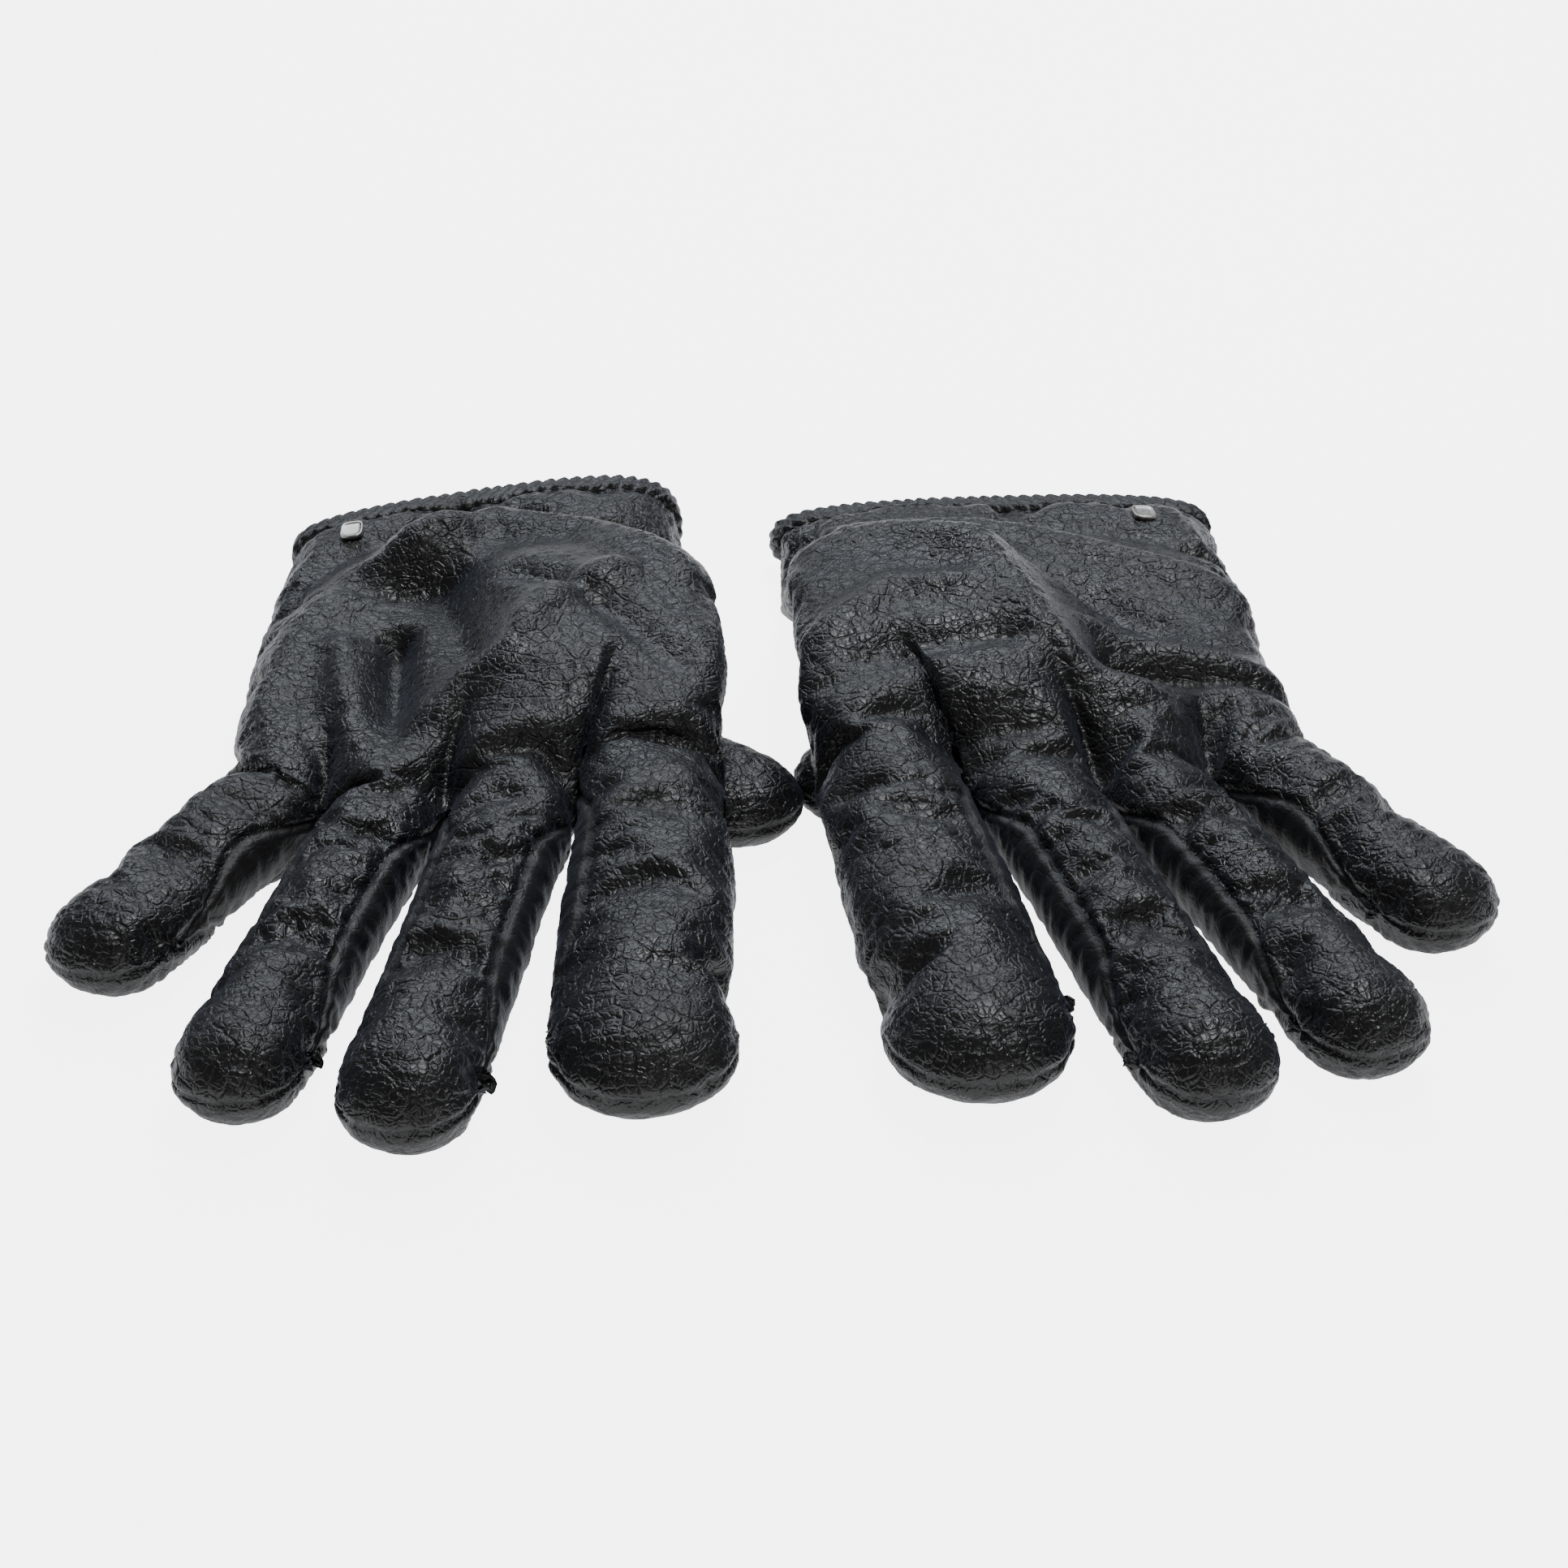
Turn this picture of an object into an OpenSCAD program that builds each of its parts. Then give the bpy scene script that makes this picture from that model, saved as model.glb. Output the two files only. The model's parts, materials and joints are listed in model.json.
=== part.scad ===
// A pair of lined leather dress gloves lying palm down, side by side, fingers towards -Y.
// Each glove is cut and sewn from leather panels over a knitted lining, and every finger
// and thumb bends on its own hinge at its root.

/* [Hand] */
// Length of the hand part, from the knuckle line to the hem
hand_length = 147; // [130:1:180]
// Height of the hand part of a glove at its middle
hand_height = 20; // [16:0.5:26]
// Height of the hand part at the knuckles
knuckle_height = 20; // [16:0.5:24]

/* [Cuff] */
// Width of each cuff, right glove then left
cuff_width = [95, 110]; // [80:1:130]
// Height of each cuff, right glove then left
cuff_height = [23, 17]; // [14:0.5:30]
// Width of the turned and stitched hem
hem_width = 9; // [6:0.5:14]
// How far the hem stands proud of the panels
hem_proud = 0.5; // [0.2:0.1:1]

/* [Fingers] */
// Length of the index, middle, ring and little finger
finger_length = [93, 97, 89, 60]; // [50:1:120]
// Width of each finger at its root
root_width = [31, 26, 24.5, 24.5]; // [18:0.5:38]
// Width of each finger at its fullest
full_width = [36, 29.5, 27, 25]; // [18:0.5:44]
// Height of each finger at its fullest
full_height = [20, 20, 19, 18]; // [14:0.5:24]
// Gap between two neighbouring fingers
crotch = 1; // [0.4:0.1:2]
// Place along the hand of each finger's root
root_y = [-3, -8, -6, 5]; // [-15:0.5:15]
// How far each finger's root is lifted off the floor
root_lift = [7, 5, 2.5, 1]; // [0:0.5:10]
// Angle of each finger of the right glove, towards the thumb
right_angle = [-2, -11, -15, -30]; // [-35:0.5:10]
// Angle of each finger of the left glove, towards the thumb
left_angle = [-6, -12.5, -17, -27]; // [-35:0.5:10]
// How far a finger curls towards the palm
curl_angle = 60; // [30:5:70]
// How far a finger bends back
back_angle = 30; // [10:5:40]

/* [Thumb] */
// Length of a thumb, from its hinge to its tip
thumb_length = 42; // [34:1:55]
// Width of a thumb at its fullest
thumb_width = 27; // [22:0.5:33]
// Height of a thumb
thumb_height = 14; // [11.5:0.5:17]
// Gap between the palm and the thumb under it
thumb_gap = 0.8; // [0.4:0.1:2]
// Radius of the hole in the palm that opens into the thumb
thumb_hole_r = 9; // [7:0.5:10]
// Place of each thumb's hinge across the hand, right glove then left
thumb_x = [44, 27]; // [15:1:50]
// Place of each thumb's hinge along the hand, right glove then left
thumb_y = [40, 44]; // [20:1:55]
// Angle of each thumb away from the hand, right glove then left
thumb_angle = [28, 38]; // [15:1:50]
// How far a thumb swings away from the palm
thumb_swing = 50; // [20:5:60]

/* [Leather and lining] */
// Thickness of the leather
leather = 1.2; // [0.8:0.1:1.6]
// Thickness of the knitted lining
lining = 1.5; // [1:0.1:2]
// Room between two pieces that lie on each other
ease = 0.3; // [0.2:0.05:0.5]
// Room on each side of a crease that a finger or thumb bends at
crease_gap = 0.5; // [0.3:0.05:1]
// Angle from a finger's side to the seam of its side strip
strip_angle = 36; // [25:1:45]

/* [Badge and thread] */
// Width of the metal badge across the glove
badge_width = 6; // [4:0.5:10]
// Length of the metal badge along the glove
badge_length = 8.5; // [5:0.5:12]
// Thickness of the metal badge
badge_thickness = 0.8; // [0.5:0.1:1.2]
// Distance from the hem to the middle of the badge
badge_from_hem = 13; // [8:1:25]
// Radius of the sewing thread
thread_r = 0.3; // [0.2:0.05:0.4]

/* [Placing] */
// Place of the right glove's knuckle line across the row
right_x = -66.1; // [-90:0.1:-50]
// Place of each glove's knuckle line along the row, right glove then left
glove_y = [-27.7, -19.3]; // [-40:0.1:0]
// Gap between the right thumb's tip and the left glove
glove_gap = 3.8; // [0.5:0.1:40]
// Turn of each glove, right glove then left
glove_turn = [2.9, 4.2]; // [-10:0.1:10]

/* [Hidden] */
FINGERS = ["index", "middle", "ring", "little"];
NODES = [for (side = ["right", "left"], piece = [
    "hand_back", "hand_palm", "hand_lining_back", "hand_lining_palm",
    "cuff_hem", "hem_thread", "side_seam_thread", "badge",
    "thumb_base", "thumb_back", "thumb_front", "thumb_lining",
    "index_back", "index_palm", "index_lining", "index_outer_fourchette",
    "middle_back", "middle_palm", "middle_lining", "middle_inner_fourchette", "middle_outer_fourchette",
    "ring_back", "ring_palm", "ring_lining", "ring_inner_fourchette", "ring_outer_fourchette",
    "little_back", "little_palm", "little_lining", "little_inner_fourchette"]) str(side, "_", piece)];
node = "all";

LEATHER_COLOUR = [0.07, 0.07, 0.08];
LINING_COLOUR = [0.12, 0.12, 0.13];
METAL_COLOUR = [0.85, 0.83, 0.78];
THREAD_COLOUR = [0.04, 0.04, 0.04];

lining_outer = leather + ease;         // depth of the lining's two faces below the leather's face
lining_inner = lining_outer + lining;
roundness = 2.4;                       // 2 makes an oval section, more makes it squarer
flatness = 3;                          // the same for the hand's section
tip_share = 0.95;                      // length of a finger's round tip over its half width
strip_run = 22;                        // length over which a side strip widens from the crotch
fullest = 0.55;                        // share of a finger's length at which it is fullest
knuckle_run = 0.3;                     // share of the hand over which the finger roots appear
back_steps = 6;                        // facets across a back or palm panel of a finger
side_steps = 3;                        // facets across a side strip
body_rows = [0, 0.3, 0.65, 1];         // rings along the straight part of a finger
tip_rows = [28, 52, 72, 87.5];         // rings round its tip, in degrees
hand_rows = [0, 0.14, 0.28, 0.42, 0.56, 0.68, 0.78, 0.86, 0.91, 0.955, 1];
hem_share = hem_width / hand_length;

function ramp(v, a, b) = let (t = min(1, max(0, (v - a) / (b - a)))) t * t * (3 - 2 * t);
function mix(a, b, t) = a + (b - a) * t;
function signed_pow(v, p) = sign(v) * pow(abs(v), p);
// Point on a section: half width a, half height b, at angle phi from the thumb side over the back
function section(a, b, phi) = [a * signed_pow(cos(phi), 2 / roundness), b * signed_pow(sin(phi), 2 / roundness)];

// Fingers. f is 0 to 3 from the index to the little finger, and g is 0 for the right glove and 1 for the left.
function finger_angle(g, f) = g == 0 ? right_angle[f] : left_angle[f];
function tip_length(f) = tip_share * full_width[f] / 2;
function half_width(f, t) = mix(root_width[f], full_width[f], ramp(t, 0, fullest * finger_length[f])) / 2;
function half_height(f, t) = mix(knuckle_height, full_height[f], ramp(t, 0, fullest * finger_length[f])) / 2;
function root_z(f) = root_lift[f] + knuckle_height / 2;
function middle_height(f, t) = mix(root_z(f), full_height[f] / 2, ramp(t, 0, 0.8 * finger_length[f]));
// Distance between the roots of fingers f and f + 1, so that they clear each other where they are fullest,
// straight or curled
function root_step(g, f) =
    let (reach = fullest * min(finger_length[f], finger_length[f + 1]) * cos(curl_angle),
         fan = reach * sin(finger_angle(g, f) - finger_angle(g, f + 1)))
    crotch + max(root_width[f] + root_width[f + 1], full_width[f] + full_width[f + 1] - 2 * fan) / 2;
function knuckle_width(g) = root_width[0] / 2 + root_step(g, 0) + root_step(g, 1) + root_step(g, 2) + root_width[3] / 2;
function root_x(g, f) = f == 0 ? (knuckle_width(g) - root_width[0]) / 2 : root_x(g, f - 1) - root_step(g, f - 1);
// Room for a hinge at height h from its axis: each side of the crease leans back by half the travel
function crease(h, down, up) = crease_gap + (h > 0 ? h * tan(up / 2) : -h * tan(down / 2));
function finger_crease(h) = crease(h, curl_angle, back_angle);
function finger_frame(g, f, across, along, up) =
    let (a = finger_angle(g, f))
    [root_x(g, f) + across * cos(a) + along * sin(a), root_y[f] + across * sin(a) - along * cos(a), up];
// Point of finger f at depth off below its leather's face. row counts the body's rings and then the tip's
function finger_point(g, f, off, row, phi) =
    let (straight = finger_length[f] - tip_length(f),
         in_tip = row >= len(body_rows),
         tip = in_tip ? tip_rows[row - len(body_rows)] : 0,
         start = finger_crease(section(1, knuckle_height / 2 - off, phi)[1]),
         t = in_tip ? straight : mix(start, straight, body_rows[row]),
         s = section((half_width(f, t) - off) * cos(tip), (half_height(f, t) - off) * cos(tip), phi),
         along = t + (tip_length(f) - off) * sin(tip))
    finger_frame(g, f, s[0], along, middle_height(f, along) + s[1]);
finger_rows = len(body_rows) + len(tip_rows);
function row_along(f, row) = row < len(body_rows) ? body_rows[row] * finger_length[f] : finger_length[f];
// Angle of a side strip's seam above the finger's side, growing from the crotch
function seam_angle(f, row, has_strip) = has_strip ? mix(5, strip_angle, ramp(row_along(f, row), 0, strip_run)) : 0;
function finger_grid(g, f, off, low, high, steps) = [
    for (row = [0:finger_rows - 1]) let (a = low[row], b = high[row])
        [for (k = [0:steps]) finger_point(g, f, off, row, mix(a, b, k / steps))]];
function inner_seam(f) = [for (row = [0:finger_rows - 1]) seam_angle(f, row, f > 0)];
function outer_seam(f) = [for (row = [0:finger_rows - 1]) seam_angle(f, row, f < 3)];
function plus(list, v) = [for (x = list) v + x];
function minus(v, list) = [for (x = list) v - x];

// The hand. column is 0 to 4 * back_steps across the fingers' roots, top is true over the back.
function root_point(g, off, f, phi) =
    let (s = section(root_width[f] / 2 - off, knuckle_height / 2 - off, phi))
    finger_frame(g, f, s[0], -finger_crease(s[1]), root_z(f) + s[1]);
function column_point(g, off, column, top) =
    let (f = min(3, floor(column / back_steps)), k = column - f * back_steps,
         phi = (top ? 1 : -1) * 180 * k / back_steps,
         here = root_point(g, off, f, phi))
    (k == 0 && f > 0) ? shared_point(here, root_point(g, off, f - 1, 180)) : here;
// Between two fingers, half way across and no further out than either root
function shared_point(a, b) = [(a[0] + b[0]) / 2, max(a[1], b[1]), (a[2] + b[2]) / 2];
thumb_lift = thumb_height + thumb_gap;  // how far the thumb lifts the hand off the floor
function hand_lift(x, y) = thumb_lift * ramp(x, -18, 18) * ramp(y, -30, 4) * (1 - ramp(y, 72, 118));
// Height that the palm keeps over the thumb, from its hinge to its tip and out to its sides
function thumb_room(g, x, y) =
    let (a = thumb_angle[g], dx = x - thumb_x[g], dy = y - thumb_y[g],
         across = dx * cos(a) + dy * sin(a), along = dx * sin(a) - dy * cos(a))
    thumb_lift * (1 - ramp(abs(across), thumb_width / 2 - 3, thumb_width / 2 + 5))
        * ramp(along, -12, 0) * (1 - ramp(along, thumb_length - 3, thumb_length + 5));
// Point of the hand at depth off. along is 0 at the hem and 1 at the fingers' roots
function hand_point(g, off, column, top, along) =
    let (root = column_point(g, off, column, top),
         thumb_edge = column_point(g, off, 0, true)[0],
         outer_edge = column_point(g, off, 4 * back_steps, true)[0],
         centre = (thumb_edge + outer_edge) / 2,
         share = min(1, max(-1, (root[0] - centre) / ((thumb_edge - outer_edge) / 2))),
         knuckles = thumb_edge - outer_edge + 2 * off,
         half_w = mix(cuff_width[g], knuckles, ramp(along, 0, 0.7)) / 2 - off,
         cuff_h = mix(cuff_height[g], hand_height, ramp(along, 0, 0.45)),
         half_h = mix(cuff_h, knuckle_height, ramp(along, 0.5, 1)) / 2,
         y = mix(hand_length, root[1], along),
         x = mix(0, centre, along) + half_w * share,
         bulge = pow(max(0, 1 - pow(abs(share), flatness)), 1 / flatness),
         rise = bulge * (half_h - off) * 1.03,
         z = half_h + hand_lift(x, y) + (top ? rise : -rise),
         w = ramp(along, 1 - knuckle_run, 1),
         own_x = mix(x, root[0], w),
         own_z = max(off, 0, mix(z, root[2], w)),
         middle = mix(half_h + hand_lift(x, y), root_z(min(3, floor(column / back_steps))), w),
         room = min(thumb_room(g, own_x, y), mix(own_z - off, middle, 0.85)) + off * min(1, 1.2 * bulge))
    [own_x, y, top ? own_z : max(own_z, room)];
function hand_grid(g, off, top, rows) = [
    for (along = rows) [for (c = [0:4 * back_steps]) hand_point(g, off, c, top, along)]];
function hand_ring(g, off, along) = concat(
    [for (c = [0:4 * back_steps]) hand_point(g, off, c, true, along)],
    [for (c = [4 * back_steps - 1:-1:1]) hand_point(g, off, c, false, along)]);

// The thumb lies under the edge of the palm. Its base is sewn round the thumb hole, open upwards, and
// the thumb itself goes on from its hinge, which is beyond the hole, to its tip.
base_length = 2 * thumb_hole_r + 9;
heel_rows = [-80, -58, -32];           // rings round the base's closed end, in degrees
base_rows = [0, 0.5, 1];
thumb_rows = [0, 0.3, 0.65, 1];
base_seam = 50;                        // angle of the edge of the base, above the thumb's side
thumb_seam = 18;                       // angle of the thumb's two seams
thumb_tip = thumb_width / 2;
function thumb_frame(g, across, along, up) =
    let (a = thumb_angle[g])
    [thumb_x[g] + across * cos(a) + along * sin(a), thumb_y[g] + across * sin(a) - along * cos(a), up];
function thumb_half(off) = 0.92 * thumb_width / 2 - off;
function thumb_point(g, off, row, phi) =
    let (straight = thumb_length - thumb_tip,
         in_tip = row >= len(thumb_rows),
         tip = in_tip ? tip_rows[row - len(thumb_rows)] : 0,
         h = (thumb_height / 2 - off) * cos(tip),
         start = crease(section(1, h, phi)[1], thumb_swing, 0),
         t = in_tip ? straight : mix(start, straight, thumb_rows[row]),
         a = mix(thumb_half(off), thumb_width / 2 - off, ramp(t, 0, straight)),
         s = section(a * cos(tip), h, phi))
    thumb_frame(g, s[0], t + (thumb_tip - off) * sin(tip), thumb_height / 2 + s[1]);
function base_point(g, off, row, phi) =
    let (heel = thumb_half(0),
         in_heel = row < len(heel_rows),
         bend = in_heel ? heel_rows[row] : 0,
         s = section(thumb_half(off) * cos(bend), (thumb_height / 2 - off) * cos(bend), phi),
         end = -crease(s[1], thumb_swing, 0),
         t = in_heel ? heel - base_length : mix(heel - base_length, end, base_rows[row - len(heel_rows)]))
    thumb_frame(g, s[0], t + (heel - off) * sin(bend), thumb_height / 2 + s[1]);
function thumb_grid(g, off, low, high, steps) = [
    for (row = [0:len(thumb_rows) + len(tip_rows) - 1])
        [for (k = [0:steps]) thumb_point(g, off, row, mix(low, high, k / steps))]];
function base_grid(g, off, low, high, steps) = [
    for (row = [0:len(heel_rows) + len(base_rows) - 1])
        [for (k = [0:steps]) base_point(g, off, row, mix(low, high, k / steps))]];

// Joins an outer and an inner grid of points into one closed wall. wrap joins the last column to the first.
module wall(outer, inner, wrap = false) {
    rows = len(outer);
    cols = len(outer[0]);
    n = rows * cols;
    last = wrap ? cols - 1 : cols - 2;
    function id(face, r, c) = face * n + r * cols + c % cols;
    function quad(a, b, c, d) = [[a, b, c], [a, c, d]];
    points = concat([for (r = outer) each r], [for (r = inner) each r]);
    skin = [for (r = [0:rows - 2], c = [0:last])
        each quad(id(0, r, c), id(0, r, c + 1), id(0, r + 1, c + 1), id(0, r + 1, c))];
    back = [for (r = [0:rows - 2], c = [0:last])
        each quad(id(1, r, c), id(1, r + 1, c), id(1, r + 1, c + 1), id(1, r, c + 1))];
    ends = [for (c = [0:last]) each concat(
        quad(id(0, 0, c), id(1, 0, c), id(1, 0, c + 1), id(0, 0, c + 1)),
        quad(id(0, rows - 1, c), id(0, rows - 1, c + 1), id(1, rows - 1, c + 1), id(1, rows - 1, c)))];
    sides = wrap ? [] : [for (r = [0:rows - 2]) each concat(
        quad(id(0, r, 0), id(0, r + 1, 0), id(1, r + 1, 0), id(1, r, 0)),
        quad(id(0, r, cols - 1), id(1, r, cols - 1), id(1, r + 1, cols - 1), id(0, r + 1, cols - 1)))];
    polyhedron(points, concat(skin, back, ends, sides));
}

// The left glove lies beside the right thumb's tip, by the edge of its own knuckles.
thumb_end = thumb_frame(0, 0, thumb_length - thumb_tip, 0);
right_end = right_x + thumb_end[0] * cos(glove_turn[0]) - thumb_end[1] * sin(glove_turn[0]) + thumb_tip;
left_x = right_end + glove_gap + (knuckle_width(1) / 2) * cos(glove_turn[1]);

// Places a glove on the floor. Both are described as a right glove, and the left one is its mirror image.
module place(g) {
    translate([g == 0 ? right_x : left_x, glove_y[g], 0])
        rotate([0, 0, glove_turn[g]])
            mirror([g, 0, 0]) children();
}

panel_rows = [for (a = hand_rows) max(a, hem_share)];

module hand_back(g) {
    color(LEATHER_COLOUR)
        wall(hand_grid(g, 0, true, panel_rows), hand_grid(g, leather, true, panel_rows));
}

// A straight twelve-sided hole through the palm and its lining, over the open part of the thumb
module thumb_hole(g) {
    at = thumb_frame(g, 0, -thumb_hole_r - 4, 0);
    translate([at[0], at[1], thumb_height - lining_inner])
        cylinder(h = thumb_gap + 3 * lining_inner, r = thumb_hole_r, $fn = 12);
}

module hand_palm(g) {
    color(LEATHER_COLOUR) difference() {
        mirrored_wall(hand_grid(g, 0, false, panel_rows), hand_grid(g, leather, false, panel_rows));
        thumb_hole(g);
    }
}

// The same wall with its grids' columns in the other order, for a surface that faces down
module mirrored_wall(outer, inner) {
    wall([for (r = outer) [for (k = [len(r) - 1:-1:0]) r[k]]], [for (r = inner) [for (k = [len(r) - 1:-1:0]) r[k]]]);
}

module hand_lining_back(g) {
    color(LINING_COLOUR)
        wall(hand_grid(g, lining_outer, true, panel_rows), hand_grid(g, lining_inner, true, panel_rows));
}

module hand_lining_palm(g) {
    color(LINING_COLOUR) difference() {
        mirrored_wall(hand_grid(g, lining_outer, false, panel_rows), hand_grid(g, lining_inner, false, panel_rows));
        thumb_hole(g);
    }
}

module cuff_hem(g) {
    rows = [0, hem_share / 2, hem_share - ease / hand_length];
    color(LEATHER_COLOUR)
        wall([for (a = rows) hand_ring(g, a == 0 ? 0 : -hem_proud, a)],
             [for (a = rows) hand_ring(g, lining_inner, a)], wrap = true);
}

// A thread along a list of points, with a square section
module thread(points, closed = false) {
    n = len(points);
    function heading(k) = points[closed ? (k + 1) % n : min(n - 1, k + 1)] - points[closed ? (k + n - 1) % n : max(0, k - 1)];
    rings = [for (k = [0:n - 1]) let (
        d = heading(k) / norm(heading(k)),
        s = cross(d, [0, 0, 1]) / norm(cross(d, [0, 0, 1])),
        u = cross(s, d))
        [points[k] + s * thread_r, points[k] + u * thread_r, points[k] - s * thread_r, points[k] - u * thread_r]];
    function id(k, c) = (k % n) * 4 + c % 4;
    tube = [for (k = [0:closed ? n - 1 : n - 2], c = [0:3]) each
        [[id(k, c), id(k + 1, c), id(k + 1, c + 1)], [id(k, c), id(k + 1, c + 1), id(k, c + 1)]]];
    caps = closed ? [] : [[0, 1, 2], [0, 2, 3], [id(n - 1, 2), id(n - 1, 1), id(n - 1, 0)], [id(n - 1, 3), id(n - 1, 2), id(n - 1, 0)]];
    polyhedron([for (r = rings) each r], concat(tube, caps));
}

thread_lie = thread_r + 0.15;          // height of a thread's middle above the leather

module hem_thread(g) {
    // runs round the panels just below the hem, over the back and the sides
    along = hem_share + 1.2 / hand_length;
    color(THREAD_COLOUR)
        thread([for (c = [1:4 * back_steps - 1]) hand_point(g, -thread_lie, c, true, along)]);
}

module side_seam_thread(g) {
    column = 4 * back_steps - 1;
    rows = [for (a = [0.1:0.06:0.95]) a];
    color(THREAD_COLOUR)
        thread([for (a = rows) hand_point(g, -thread_lie, column, true, a)]);
}

module badge(g) {
    // sits on the back by the outer side of the hem, and is held by two prongs folded against it
    across = 4 * back_steps - 4;
    along = hem_share + badge_from_hem / hand_length;
    at = hand_point(g, 0, across, true, along);
    beside = hand_point(g, 0, across - 1, true, along);
    slope = atan2(beside[2] - at[2], beside[0] - at[0]);
    color(METAL_COLOUR)
        translate((at + beside) / 2)
            rotate([0, -slope, 0])
                translate([0, 0, ease + badge_thickness / 2]) {
                    cube([badge_width, badge_length, badge_thickness], center = true);
                    for (end = [-1, 1])
                        translate([0, end * (badge_length / 2 - 1), badge_thickness / 2])
                            rotate([0, 90, 0]) cylinder(h = badge_width - 1, r = 0.3, center = true, $fn = 24);
                }
}

module finger_panel(g, f, low, high, steps) {
    color(LEATHER_COLOUR)
        wall(finger_grid(g, f, 0, low, high, steps), finger_grid(g, f, leather, low, high, steps));
}

module finger_back(g, f) {
    finger_panel(g, f, inner_seam(f), minus(180, outer_seam(f)), back_steps);
}

module finger_palm(g, f) {
    finger_panel(g, f, plus(outer_seam(f), 180), minus(360, inner_seam(f)), back_steps);
}

module inner_fourchette(g, f) {
    finger_panel(g, f, minus(0, inner_seam(f)), inner_seam(f), side_steps);
}

module outer_fourchette(g, f) {
    finger_panel(g, f, minus(180, outer_seam(f)), plus(outer_seam(f), 180), side_steps);
}

// Angles from a to b, without b
function fan(a, b, steps) = [for (k = [0:steps - 1]) mix(a, b, k / steps)];
// A lining's columns lie under those of the panels, so that its facets clear theirs
function lining_angles(f, row) =
    let (inner = seam_angle(f, row, f > 0), outer = seam_angle(f, row, f < 3))
    concat(fan(inner, 180 - outer, back_steps), f < 3 ? fan(180 - outer, 180 + outer, side_steps) : [],
           fan(180 + outer, 360 - inner, back_steps), f > 0 ? fan(360 - inner, 360 + inner, side_steps) : []);
function lining_grid(g, f, off) = [
    for (row = [0:finger_rows - 1]) [for (phi = lining_angles(f, row)) finger_point(g, f, off, row, phi)]];

module finger_lining(g, f) {
    color(LINING_COLOUR) wall(lining_grid(g, f, lining_outer), lining_grid(g, f, lining_inner), wrap = true);
}

module thumb_base(g) {
    low = 180 - base_seam;
    high = 360 + base_seam;
    color(LEATHER_COLOUR)
        wall(base_grid(g, 0, low, high, 2 * back_steps), base_grid(g, leather, low, high, 2 * back_steps));
}

module thumb_panel(g, low, high, steps) {
    color(LEATHER_COLOUR)
        wall(thumb_grid(g, 0, low, high, steps), thumb_grid(g, leather, low, high, steps));
}

module thumb_back(g) {
    thumb_panel(g, thumb_seam, 180 - thumb_seam, back_steps);
}

module thumb_front(g) {
    thumb_panel(g, 180 - thumb_seam, 360 + thumb_seam, back_steps + 2);
}

module thumb_lining(g) {
    angles = concat(fan(thumb_seam, 180 - thumb_seam, back_steps), fan(180 - thumb_seam, 360 + thumb_seam, back_steps + 2));
    function grid(off) = [
        for (row = [0:len(thumb_rows) + len(tip_rows) - 1]) [for (phi = angles) thumb_point(g, off, row, phi)]];
    color(LINING_COLOUR) wall(grid(lining_outer), grid(lining_inner), wrap = true);
}

function wanted(g, piece) = node == "all" || node == str(g == 0 ? "right_" : "left_", piece);

for (g = [0, 1]) {
    if (wanted(g, "hand_back")) place(g) hand_back(g);
    if (wanted(g, "hand_palm")) place(g) hand_palm(g);
    if (wanted(g, "hand_lining_back")) place(g) hand_lining_back(g);
    if (wanted(g, "hand_lining_palm")) place(g) hand_lining_palm(g);
    if (wanted(g, "cuff_hem")) place(g) cuff_hem(g);
    if (wanted(g, "hem_thread")) place(g) hem_thread(g);
    if (wanted(g, "side_seam_thread")) place(g) side_seam_thread(g);
    if (wanted(g, "badge")) place(g) badge(g);
    if (wanted(g, "thumb_base")) place(g) thumb_base(g);
    if (wanted(g, "thumb_back")) place(g) thumb_back(g);
    if (wanted(g, "thumb_front")) place(g) thumb_front(g);
    if (wanted(g, "thumb_lining")) place(g) thumb_lining(g);
    for (f = [0:3]) {
        if (wanted(g, str(FINGERS[f], "_back"))) place(g) finger_back(g, f);
        if (wanted(g, str(FINGERS[f], "_palm"))) place(g) finger_palm(g, f);
        if (wanted(g, str(FINGERS[f], "_lining"))) place(g) finger_lining(g, f);
        if (f > 0 && wanted(g, str(FINGERS[f], "_inner_fourchette"))) place(g) inner_fourchette(g, f);
        if (f < 3 && wanted(g, str(FINGERS[f], "_outer_fourchette"))) place(g) outer_fourchette(g, f);
    }
}
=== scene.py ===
# %% [markdown]
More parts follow.
